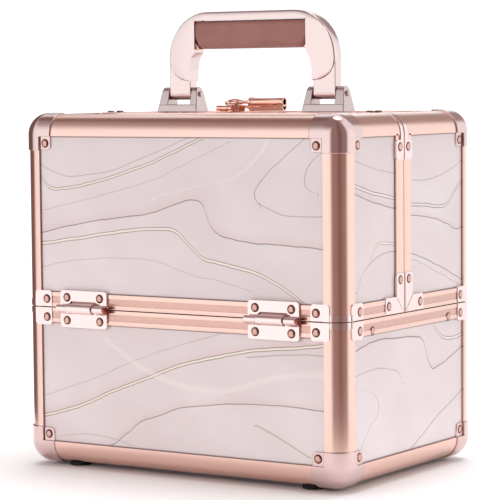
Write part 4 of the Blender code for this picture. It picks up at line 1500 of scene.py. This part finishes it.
@dataclass(frozen=True)
class LidHinges:
    """Four leaf hinges: rounded plates, a fat middle knuckle, two slim ones and a pin with a proud head."""

    proud: float = 1.3
    plate: float = 2.2
    plate_round: float = 0.7
    corner: float = 2.6
    knuckle: float = 3.68
    slim: float = 2.68
    pin: float = 1.5
    pin_head: float = 2.3
    axis_out: float = 4.3
    end_knuckle: float = 9.2
    rivet_in: float = 6.0
    upper_rivet: float = 7.5
    lower_rivet: float = 8.4

    def build(self, rivets: Rivets) -> None:
        """Builds the four hinges.

        Args:
            rivets: Where the rivets are booked.
        """
        chrome, pin_finish = CHROME.material(), PIN.material()
        for lid in Lid:
            for hand in HANDS:
                self.hinge(lid, hand, chrome, pin_finish, rivets)

    def hinge(self, lid: Lid, hand: str, chrome: bpy.types.Material, pin_finish: bpy.types.Material,
              rivets: Rivets) -> None:
        """One hinge, from the place of its CAD leaves.

        Args:
            lid: The lid.
            hand: Left or right, as in node names.
            chrome: The plates' finish.
            pin_finish: The pin's finish.
            rivets: Where the rivets are booked.
        """
        side = lid.value
        upper, lower = f"{lid.word}_hinge_upper_leaf_{hand}", f"{lid.word}_hinge_lower_leaf_{hand}"
        low, high = corners(upper)
        foot, _ = corners(lower)
        left, right = low.x, high.x
        axis_y = side * (HALF_Y + self.axis_out)
        axis_z = (BASE_RIM + LID_RIM) / 2
        third = self.end_knuckle
        front = side * (HALF_Y + self.proud)
        plate = rounded((left, axis_z + 0.9), (right, high.z), (0.6, 0.6, self.corner, self.corner))
        shape = Shape().prism(plate, "Y", front - side * self.plate, front)
        middle = (left + third + 0.35, right - third - 0.35)
        ring = [(middle[0], 0.0), (middle[0], self.knuckle - 0.3), (middle[0] + 0.3, self.knuckle),
                (middle[1] - 0.3, self.knuckle), (middle[1], self.knuckle - 0.3), (middle[1], 0.0)]
        shape.lathe(ring, "X", (axis_y, axis_z))
        web = [(front - side * 0.4, axis_z + 0.9), (front - side * 0.4, axis_z + 5.2), (front, axis_z + 4.9),
               (axis_y - side * 0.4, axis_z + self.knuckle - 0.05), (axis_y, axis_z)]
        shape.prism(web, "X", middle[0] + 0.02, middle[1] - 0.02)
        shell = soften(shape.piece(f"{upper}_shell"), self.plate_round, 3, 50.0)
        fit(shell, chrome, "pink_chrome", lid.body, upper)
        plate = rounded((left, foot.z), (right, axis_z - 2.9), (self.corner, self.corner, 0.6, 0.6))
        shape = Shape().prism(plate, "Y", front - side * self.plate, front)
        for start, stop in ((left, left + third), (right - third, right - 0.2)):
            rim = [(start, 0.0), (start, self.slim - 0.3), (start + 0.3, self.slim), (stop - 0.3, self.slim),
                   (stop, self.slim - 0.3), (stop, 0.0)]
            shape.lathe(rim, "X", (axis_y, axis_z), 28)
            web = [(front - side * 0.5, axis_z - 0.2), (front - side * 0.5, axis_z - 4.2),
                   (front, axis_z - 4.0), (axis_y - side * 1.2, axis_z - 2.2),
                   (axis_y - side * 1.2, axis_z - 0.2)]
            shape.prism(web, "X", start + 0.02, stop - 0.02)
        shell = soften(shape.piece(f"{lower}_shell"), self.plate_round, 3, 50.0)
        fit(shell, chrome, "pink_chrome", "base", lower)
        pin = [(left, 0.0), (left, 0.9), (left + 0.4, self.pin), (right - 0.2, self.pin),
               (right - 0.1, self.pin_head),
               (right + 1.2, self.pin_head), (right + 1.8, 1.6), (right + 1.9, 0.0)]
        rod = Shape().lathe(pin, "X", (axis_y, axis_z), 24)
        fit(rod.piece(f"{lid.word}_hinge_pin_{hand}"), pin_finish, "copper_chrome", "base")
        for x in (left + self.rivet_in, right - self.rivet_in):
            rivets.add(lid.body, (x, front, axis_z + self.upper_rivet), (0, side, 0))
            rivets.add("base", (x, front, axis_z - self.lower_rivet), (0, side, 0))


# ---------------------------------------------------------------- panels, linings and trays


@dataclass(frozen=True)
class Panels:
    """The printed panels; each keeps its CAD shape and gets its own drawing of veins."""

    low: float = BOTTOM + 12.0
    high: float = TOP - 12.0
    rim: float = 10.3
    seam: float = 9.5

    def build(self) -> None:
        """Dresses every panel."""
        wide, deep = HALF_X - 12.0, HALF_Y - 12.0
        seen_x, seen_y = HALF_X - EDGE_WIDTH, HALF_Y - EDGE_WIDTH
        lid_z, base_z = (LID_RIM + self.rim, TOP - EDGE_WIDTH), (BOTTOM + EDGE_WIDTH, BASE_RIM - self.rim)
        for lid, flip in ((Lid.FRONT, False), (Lid.BACK, True)):
            for node, veins, (low, high) in ((f"{lid.body}_{lid.word}_panel", FRONT_LID_VEINS, lid_z),
                                             (f"base_{lid.word}_panel", FRONT_BASE_VEINS, base_z)):
                marble = Marble(f"marble_{node}", "X", "Z", (-wide, self.low), (wide, self.high), veins,
                                ((-seen_x, low), (seen_x, high)), flip)
                dress(node, marble.material())
        spans = {Lid.FRONT: (-seen_y, SEAM[Lid.FRONT] - self.seam),
                 Lid.BACK: (SEAM[Lid.BACK] + self.seam, seen_y)}
        for hand in HANDS:
            for node, veins, (left, right), (low, high) in (
                (f"front_lid_{hand}_panel", SIDE_FRONT_VEINS, spans[Lid.FRONT], lid_z),
                (f"back_lid_{hand}_panel", SIDE_BACK_VEINS, spans[Lid.BACK], lid_z),
                (f"base_{hand}_panel", SIDE_BASE_VEINS, (-seen_y, seen_y), base_z),
            ):
                marble = Marble(f"marble_{node}", "Y", "Z", (-deep, self.low), (deep, self.high), veins,
                                ((left, low), (right, high)))
                dress(node, marble.material())
        spans["base"] = (-seen_y, seen_y)
        for node, key in (("front_lid_top_panel", Lid.FRONT), ("back_lid_top_panel", Lid.BACK),
                          ("bottom_panel", "base")):
            left, right = spans[key]
            marble = Marble(f"marble_{node}", "X", "Y", (-wide, -deep), (wide, deep), self.flat_veins(),
                            ((-seen_x, left), (seen_x, right)))
            dress(node, marble.material())

    @staticmethod
    def flat_veins() -> tuple[Vein, ...]:
        """Veins that run along the top and the bottom.

        Returns:
            The veins.
        """
        return (
            Vein(Ink.DARK, ((-117, 52), (-70, 61), (-20, 48), (35, 30), (80, 41), (117, 36)), 0.5, 0.7,
                 halo=6.0),
            Vein(Ink.GOLD, ((-117, -30), (-60, -38), (-10, -52), (50, -44), (117, -60)), 0.8, 0.7),
            Vein(Ink.WHITE, ((-117, -33), (-60, -41), (-10, -55), (50, -47), (117, -63)), 0.9, 0.8),
            Vein(Ink.FAINT, ((-117, 20), (-40, 12), (40, 24), (117, 8)), 0.5, 0.5),
        )


@dataclass(frozen=True)
class Interior:
    """Velour linings, moulded trays with soft rims, and the steel links."""

    tray_round: float = 0.7
    link_round: float = 0.3

    def build(self) -> None:
        """Dresses the linings and builds the trays and links."""
        velour, shell, steel = VELOUR.material(), TRAY_SHELL.material(), STEEL.material(Grain.Z)
        for node in ("base_lining", "front_lid_lining", "back_lid_lining"):
            dress(node, velour)
        for lid in Lid:
            for level in ("lower", "upper"):
                node = f"{lid.word}_{level}_tray"
                fit(refined(node, f"{node}_shell", self.tray_round, 3), shell, "tray_plastic", node, node)
                self.mat(node, velour)
            for hand in HANDS:
                node = f"{lid.word}_link_{hand}"
                plate = refined(node, f"{node}_plate", self.link_round)
                fit(plate, steel, "link_steel", f"{lid.word}_links", node)

    @staticmethod
    def mat(node: str, velour: bpy.types.Material) -> None:
        """A velour mat in each cell of a tray.

        Args:
            node: The CAD node's name.
            velour: The lining's finish.
        """
        low, high = corners(node)
        floor = high.z - (28.0 if "lower" in node else 30.0) + 2.0
        shape = Shape()
        for left, right in ((low.x + 2.4, -1.4), (1.4, high.x - 2.4)):
            outline = rounded((left, low.y + 2.6), (right, high.y - 2.6), (2.0,) * 4)
            shape.prism(outline, "Z", floor + 0.05, floor + 1.0)
        fit(soften(shape.piece(f"{node}_mats"), 0.3), velour, "dark_lining", node)


# ---------------------------------------------------------------- handle


@dataclass(frozen=True)
class Handle:
    """The cast arch with its crowned shoulders, the padded grip, the forks and their pins."""

    leg: float = 18.0
    flange_half: float = 4.2
    crown_half: float = 4.9
    crown_width: float = 17.0
    crown_round: float = 1.2
    crown_tip: float = 15.0
    crown_leave: float = 30.0
    arch_corner: float = 33.0
    ear_top: float = 9.0
    ear_slant: float = 2.4

    def build(self) -> None:
        """Builds the handle."""
        chrome = ARCH.material()
        self.arch(chrome)
        self.grip()
        self.forks()

    def arch(self, chrome: bpy.types.Material) -> None:
        """The arch: two flat legs, and a crowned band that runs up, over and down between them.

        Args:
            chrome: The plates' finish.
        """
        low, high = corners("handle_arch")
        middle, half = (low.y + high.y) / 2, (high.y - low.y) / 2
        pin_z = low.z + 6.0
        legs = Shape()
        for end in (-1, 1):
            inner, outer = end * (high.x - self.leg), end * high.x
            outline = [(inner + end * 0.15, pin_z), (outer, pin_z), (outer, low.z + self.crown_leave),
                       (inner + end * 0.6, low.z + self.crown_leave)]
            legs.prism(outline, "Y", middle - self.flange_half, middle + self.flange_half)
            eye = arc((middle, pin_z), self.flange_half, 180, 360, 14)
            eye += [(middle + self.flange_half, pin_z + 1.0), (middle - self.flange_half, pin_z + 1.0)]
            legs.prism(eye, "X", min(inner, outer), max(inner, outer))
        fit(soften(legs.piece("handle_legs"), 0.7, 3, 40.0), chrome, "pink_chrome", "handle", "handle_arch")
        rows = []
        for outer, inner in self.stations(low, high):
            across = Vector(inner) - Vector(outer)
            width = across.length
            skip = self.skip(outer[1] - low.z) * width
            front = [self.crown(width, skip, half, i / 12) for i in range(13)]
            ring = [(distance, middle - depth) for distance, depth in front]
            ring += [(distance, middle + depth) for distance, depth in reversed(front)]
            run, rise = across.x / width, across.y / width
            rows.append([(outer[0] + run * d, y, outer[1] + rise * d) for d, y in ring])
        crown = Shape().grid(rows, wrap=True).piece("handle_crown", 30.0)
        fit(crown, chrome, "pink_chrome", "handle")

    def stations(self, low: Vector, high: Vector) -> list[tuple[Pair, Pair]]:
        """Pairs of a point on the arch's outer line and its partner on the inner line, from left to right.

        Args:
            low: Lowest corner.
            high: Highest corner.

        Returns:
            The pairs, from left to right.
        """
        reach, corner = high.x, self.arch_corner
        inside = reach - self.leg
        grip_low, grip_high = corners("handle_grip")
        under, shoulder = grip_high.z + 0.3, grip_high.x + 0.3
        start = low.z + self.crown_tip
        half_path = []
        for i in range(25):
            z = start + (high.z - corner - start) * i / 24
            half_path.append(((reach, z), (inside - 4.7 * max(0.0, (z - start - 8.0) / 25.0), z)))
        for i in range(1, 13):
            a, b = arc((reach - corner, high.z - corner), corner, 90 * i / 12, 90 * i / 12, 1)[0]
            share = i / 12
            if share < 0.5:
                inner = (shoulder, high.z - corner + (under - high.z + corner) * share * 2)
            else:
                inner = (shoulder - (shoulder - reach + corner) * (share * 2 - 1), under)
            half_path.append(((a, b), inner))
        mirrored = [((-o[0], o[1]), (-i[0], i[1])) for o, i in half_path]
        return mirrored + half_path[::-1]

    def skip(self, height: float) -> float:
        """Share of the width, from the outside, that the crown leaves to the flat leg at a height."""
        share = (self.crown_leave - height) / (self.crown_leave - self.crown_tip)
        return 0.96 * (1 - math.sqrt(max(1 - max(share, 0.0) ** 2, 0.0)))

    def crown(self, width: float, skip: float, half: float, share: float) -> Pair:
        """Distance in from the outer line and depth of one point over the crown, share of the way across.

        Args:
            width: The band's width there.
            skip: The width left to the flat leg.
            half: Half the arch's depth.
            share: How far across, from 0 to 1.

        Returns:
            The distance in and the depth.
        """
        room = width - skip
        run = min(self.crown_width, room * 0.8)
        distance = run * (1 - math.cos(math.radians(90 * share / 0.8))) if share < 0.8 else (
            run + (room - run) * (share - 0.8) / 0.2)
        rise = math.sin(math.pi / 2 * min(distance / run, 1.0))
        gone = max(0.0, 1 - distance / self.crown_round)
        lost = self.crown_round * (1 - math.sqrt(1 - gone**2))
        depth = self.crown_half - lost + (half - self.crown_half) * rise
        return skip + distance, depth

    def grip(self) -> None:
        """The padded grip: a crowned bar whose lower corners are drawn in, with a copper clip at each end."""
        low, high = corners("handle_grip")
        middle_y, middle_z = (low.y + high.y) / 2, (low.z + high.z) / 2
        half_y, half_z = (high.y - low.y) / 2, (high.z - low.z) / 2
        rows = []
        count = 36
        for i in range(count + 1):
            share = -1 + 2 * i / count
            x = high.x * share
            near = max(0.0, (abs(x) - (high.x - 6.0)) / 6.0)
            lift = 6.5 * (1 - math.sqrt(max(1 - near**2, 0.0)))
            crown = 1.0 - 0.05 * abs(share) ** 3 - 0.02
            ring = []
            for j in range(28):
                angle = 2 * math.pi * j / 28
                c, s = math.cos(angle), math.sin(angle)
                y = half_y * math.copysign(abs(c) ** 0.62, c) * crown
                z = half_z * math.copysign(abs(s) ** 0.42, s)
                if z < 0:
                    z = -half_z + (z + half_z) * (1 - lift / (2 * half_z)) + lift
                ring.append((x, middle_y + y, middle_z + z))
            rows.append(ring)
        grip = Shape().grid(rows, wrap=True, caps=True).piece("handle_grip_padded", 60.0)
        fit(grip, LEATHER.material(), "rose_leather", "handle", "handle_grip")
        copper = COPPER_CHROME.material()
        for end, hand in ((-1, "left"), (1, "right")):
            clip = Shape()
            x = end * (high.x + 0.6)
            outline = [(x - end * 4.0, low.z - 0.2), (x + end * 4.4, low.z - 0.6),
                       (x + end * 3.2, low.z + 3.4), (x - end * 0.3, low.z + 4.6),
                       (x - end * 2.6, low.z + 1.6)]
            clip.prism(outline, "Y", middle_y - 4.2, middle_y + 4.2)
            fit(soften(clip.piece(f"grip_clip_{hand}"), 0.8, 3), copper, "copper_chrome", "handle")

    def forks(self) -> None:
        """The forks on the lid: ears that taper upwards, a cross bar, and the pins through them."""
        for hand, end in HANDS.items():
            fork, pin = f"handle_foot_{hand}", f"handle_pin_{hand}"
            low, high = corners(fork)
            middle = (low.y + high.y) / 2
            inside, outside = sorted((abs(low.x), abs(high.x)))
            leg_in, leg_out = corners("handle_arch")[1].x - self.leg - 0.4, corners("handle_arch")[1].x + 0.4
            ear_radius = self.ear_top / 2
            top = high.z - ear_radius
            side = [(low.y, low.z), (high.y, low.z)]
            side += arc((middle, top), ear_radius, 12, 168, 12)
            shape = Shape()
            for start, stop, slant in ((inside, leg_in, self.ear_slant), (outside, leg_out, -self.ear_slant)):
                rows = []
                for y, z in side:
                    lean = slant * (z - low.z) / (high.z - low.z)
                    rows.append([(end * (start + lean), y, z), (end * stop, y, z)])
                rings = [[row[0] for row in rows], [row[1] for row in rows]]
                shape.grid(rings, wrap=True, caps=True)
            bar = [(low.y + 0.02, low.z + 0.01), (high.y - 0.02, low.z + 0.01), (high.y - 1.1, low.z + 5.3),
                   (low.y + 1.1, low.z + 5.3)]
            shape.prism(bar, "X", min(end * (inside + 1), end * (outside - 1)), max(end * (inside + 1),
                        end * (outside - 1)))
            fit(soften(shape.piece(f"{fork}_cast"), 0.6, 3), FORK.material(), "pink_chrome", "back_lid", fork)
            fit(refined(pin, f"{pin}_peened", 0.4, 2), FORK.material(), "copper_chrome", "back_lid", pin)


# ---------------------------------------------------------------- lock and keys


@dataclass(frozen=True)
class Lock:
    """The lock case, its cylinder, the hasp and the two tubular keys."""

    key_sides: int = 32
    bow_lean: float = 24.0

    def build(self) -> None:
        """Builds the lock and the keys."""
        copper = COPPER_CHROME.material()
        for node, body in (("lock_case", "back_lid"), ("lock_cylinder", "lock_cylinder"), ("hasp", "hasp"),
                           ("hasp_hinge_plate", "front_lid")):
            fit(refined(node, f"{node}_plated", 0.25, 2), copper, "copper_chrome", body, node)
        for node in ("key_1", "key_2"):
            self.key(node, copper)

    def key(self, node: str, copper: bpy.types.Material) -> None:
        """A tubular key: a rounded bow with a hole, a ringed neck and a hollow barrel with a flared lip.

        Args:
            node: The CAD node's name.
            copper: The copper finish.
        """
        low, high = corners(node)
        y, z = (low.y + high.y) / 2, (low.z + high.z) / 2
        collar = low.x + 21.0
        barrel = collar + 2.0
        shape = Shape()
        profile = [(low.x + 11.0, 0.0), (low.x + 11.2, 1.6), (low.x + 14.0, 1.5), (low.x + 15.0, 1.1),
                   (collar - 1.6, 1.2), (collar - 1.0, 2.6), (collar - 0.5, 2.6), (collar, 3.2),
                   (collar + 0.3, 3.75), (barrel - 0.3, 3.75), (barrel, 3.1), (barrel + 0.8, 2.95),
                   (high.x - 1.6, 2.95), (high.x - 1.1, 3.2), (high.x - 0.2, 3.2), (high.x, 3.0),
                   (high.x - 0.1, 2.1), (high.x - 14.0, 2.0), (high.x - 14.2, 0.0)]
        shape.lathe(profile, "X", (y, z), self.key_sides)
        rows = []
        centre, half, lean = low.x + 6.6, 6.6, math.radians(self.bow_lean)
        for i in range(40):
            around = 2 * math.pi * i / 40
            c, s = math.cos(around), math.sin(around)
            tube = 1.55
            ring = []
            for j in range(14):
                angle = 2 * math.pi * j / 14
                radial, up = tube * math.cos(angle), 1.05 * math.sin(angle)
                aside = (4.95 - tube + radial) * s
                ring.append((centre + (half - tube + radial) * c,
                             y + aside * math.cos(lean) - up * math.sin(lean),
                             z + aside * math.sin(lean) + up * math.cos(lean)))
            rows.append(ring)
        rows.append(rows[0])
        shape.grid(rows, wrap=True)
        bmesh.ops.remove_doubles(shape.mesh, verts=shape.mesh.verts, dist=0.001)
        fit(shape.piece(f"{node}_turned", 45.0), copper, "copper_chrome", "keys", node)


@dataclass(frozen=True)
class Feet:
    """Ribbed rubber feet."""

    ribs: int = 4

    def build(self) -> None:
        """Builds the four feet."""
        rubber = RUBBER.material()
        for lid in Lid:
            for hand in HANDS:
                node = f"rubber_foot_{lid.word}_{hand}"
                low, high = corners(node)
                x, y = (low.x + high.x) / 2, (low.y + high.y) / 2
                radius = (high.x - low.x) / 2
                profile = [(low.z, 0.0), (low.z, radius - 0.9), (low.z + 0.25, radius - 0.5)]
                pitch = (high.z - low.z - 0.3) / self.ribs
                for i in range(self.ribs):
                    start = low.z + 0.25 + i * pitch
                    profile += [(start + pitch * 0.15, radius), (start + pitch * 0.6, radius),
                                (start + pitch * 0.8, radius - 0.35)]
                profile += [(high.z, radius - 0.3), (high.z, 0.0)]
                foot = Shape().lathe(profile, "Z", (x, y), 40).piece(f"{node}_ribbed")
                fit(foot, rubber, "black_rubber", "base", node)


def tray_pivot_rivets(rivets: Rivets) -> None:
    """Books the rivets through the base's ends that carry the tray links.

    Args:
        rivets: Where the rivets are booked.
    """
    for lid in Lid:
        for end in (-1, 1):
            place = (end * (HALF_X - 0.1), lid.value * (HALF_Y - 37.7), BASE_RIM - 8.0)
            rivets.add("base", place, (end, 0, 0))


# ---------------------------------------------------------------- studio


@dataclass(frozen=True)
class Flat:
    """A soft-edged round flat in the surroundings, named by its direction from the case in degrees.

    Azimuth 0 is straight in front of the case and 90 is to its right. An upright one is a stripe from the
    floor to overhead.
    """

    azimuth: float
    elevation: float
    inner: float
    outer: float
    shade: Colour
    upright: bool = False

    def centre(self) -> tuple[float, float, float]:
        """Unit direction of its middle.

        Returns:
            The direction.
        """
        turn, lift = math.radians(self.azimuth), math.radians(self.elevation)
        level = math.cos(lift)
        return math.sin(turn) * level, -math.cos(turn) * level, math.sin(lift)


@dataclass(frozen=True)
class Studio:
    """Pale floor, soft lights and the camera."""

    floor_radius: float = 340.0
    surround: Colour = (1.16, 1.20, 1.22)
    flats: tuple[Flat, ...] = (
        Flat(-20.0, 2.0, 10.0, 32.0, (1.34, 1.35, 1.35)),
        Flat(125.0, 2.0, 10.0, 30.0, (1.34, 1.35, 1.35)),
        Flat(-30.0, 72.0, 20.0, 52.0, (0.36, 0.27, 0.26)),
        Flat(-95.0, 55.0, 5.0, 17.0, (0.28, 0.19, 0.17)),
        Flat(178.0, 32.0, 11.0, 24.0, (0.46, 0.37, 0.35)),
        Flat(-104.0, 6.0, 30.0, 44.0, (0.22, 0.13, 0.12)),
        Flat(52.0, 0.0, 36.0, 49.0, (0.39, 0.27, 0.25), True),
        Flat(55.0, 0.0, 0.0, 16.0, (0.26, 0.17, 0.155), True),
        Flat(178.0, 75.0, 10.0, 14.0, (3.2, 3.2, 3.2)),
    )
    camera_place: tuple[float, float, float] = (0.878, -1.352, 0.2667)
    yaw: float = 0.5756
    pitch: float = -0.0726
    roll: float = -0.0088
    lens: float = 165.6

    def build(self) -> None:
        """Sets up the studio."""
        self.floor()
        self.world()
        self.lights()
        self.camera()
        bpy.context.scene.view_settings.view_transform = "Standard"

    def floor(self) -> None:
        """A round white table top under the case."""
        radius = self.floor_radius
        outline = [(-0.6, 0.0), (-0.6, radius), (-0.02, radius), (-0.02, 0.0)]
        floor = Shape().lathe(outline, "Z", (0.0, 0.0), 96).piece("studio_floor")
        s = Sockets("floor_white")
        speck = s.noise((300.0, 300.0, 300.0), 1.0)
        s.feed(s.shader.inputs["Base Color"], s.mix(speck, (0.945, 0.95, 0.95), (0.96, 0.965, 0.965)))
        s.shader.inputs["Roughness"].default_value = 0.7
        floor.data.materials.append(s.material)

    def world(self) -> None:
        """Bright surroundings with dark flats beside and over the case, and one small lamp overhead.

        The camera itself sees the plain surroundings.
        """
        world = bpy.data.worlds.new("studio")
        bpy.context.scene.world = world
        world.use_nodes = True
        tree = world.node_tree
        link = tree.links.new
        way = tree.nodes.new("ShaderNodeTexCoord").outputs["Generated"]
        flatten = tree.nodes.new("ShaderNodeVectorMath")
        flatten.operation = "MULTIPLY"
        flatten.inputs[1].default_value = (1.0, 1.0, 0.0)
        link(way, flatten.inputs[0])
        unit = tree.nodes.new("ShaderNodeVectorMath")
        unit.operation = "NORMALIZE"
        link(flatten.outputs[0], unit.inputs[0])
        level = unit.outputs[0]
        shade = None
        for flat in self.flats:
            facing = tree.nodes.new("ShaderNodeVectorMath")
            facing.operation = "DOT_PRODUCT"
            facing.inputs[1].default_value = flat.centre()
            link(level if flat.upright else way, facing.inputs[0])
            share = tree.nodes.new("ShaderNodeMapRange")
            share.interpolation_type = "SMOOTHSTEP"
            share.inputs["From Min"].default_value = math.cos(math.radians(flat.outer))
            share.inputs["From Max"].default_value = math.cos(math.radians(flat.inner))
            link(facing.outputs["Value"], share.inputs["Value"])
            mix = tree.nodes.new("ShaderNodeMix")
            mix.data_type = "RGBA"
            link(share.outputs[0], mix.inputs["Factor"])
            if shade is None:
                mix.inputs[6].default_value = (*self.surround, 1.0)
            else:
                link(shade, mix.inputs[6])
            mix.inputs[7].default_value = (*flat.shade, 1.0)
            shade = mix.outputs[2]
        seen = tree.nodes.new("ShaderNodeMix")
        seen.data_type = "RGBA"
        link(tree.nodes.new("ShaderNodeLightPath").outputs["Is Camera Ray"], seen.inputs["Factor"])
        link(shade, seen.inputs[6])
        seen.inputs[7].default_value = (*self.surround, 1.0)
        link(seen.outputs[2], tree.nodes["Background"].inputs[0])

    @staticmethod
    def lights() -> None:
        """Soft lights that fill the panels and the floor without showing in the metal."""
        for name, place, size, power in (
            ("front_fill", (-0.9, -1.9, 1.1), 1.2, 4.0),
            ("side_fill", (1.9, -0.3, 0.9), 1.2, 5.0),
            ("top_fill", (-0.1, 0.2, 2.2), 1.8, 34.0),
        ):
            data = bpy.data.lights.new(name, "AREA")
            data.shape = "SQUARE"
            data.size = size
            data.energy = power
            light = bpy.data.objects.new(name, data)
            bpy.context.scene.collection.objects.link(light)
            light.location = place
            light.rotation_euler = (Vector((0, 0, 0.15)) - Vector(place)).to_track_quat("-Z", "Y").to_euler()
            light.visible_glossy = False

    def camera(self) -> None:
        """The camera at its place, level but for a trace of roll."""
        data = bpy.data.cameras.new("camera")
        data.lens, data.sensor_width = self.lens, 36.0
        camera = bpy.data.objects.new("camera", data)
        bpy.context.scene.collection.objects.link(camera)
        right = Vector((math.cos(self.yaw), math.sin(self.yaw), 0.0))
        ahead = Vector((-math.sin(self.yaw) * math.cos(self.pitch), math.cos(self.yaw) * math.cos(self.pitch),
                        math.sin(self.pitch)))
        up = right.cross(ahead)
        turned = right * math.cos(self.roll) + up * math.sin(self.roll)
        raised = -right * math.sin(self.roll) + up * math.cos(self.roll)
        facing = Matrix((turned, raised, -ahead)).transposed().to_4x4()
        camera.matrix_world = Matrix.Translation(self.camera_place) @ facing
        bpy.context.scene.camera = camera


def main() -> None:
    """Builds every sub-assembly and reports the pieces."""
    logging.basicConfig(level=logging.INFO, format="%(name)s: %(message)s")
    rivets = Rivets()
    Sections().build()
    CornerCaps().build(rivets)
    Brackets().build(rivets)
    LidHinges().build(rivets)
    tray_pivot_rivets(rivets)
    rivets.build()
    Panels().build()
    Interior().build()
    Handle().build()
    Lock().build()
    Feet().build()
    Studio().build()


if __name__ == "__main__":
    main()
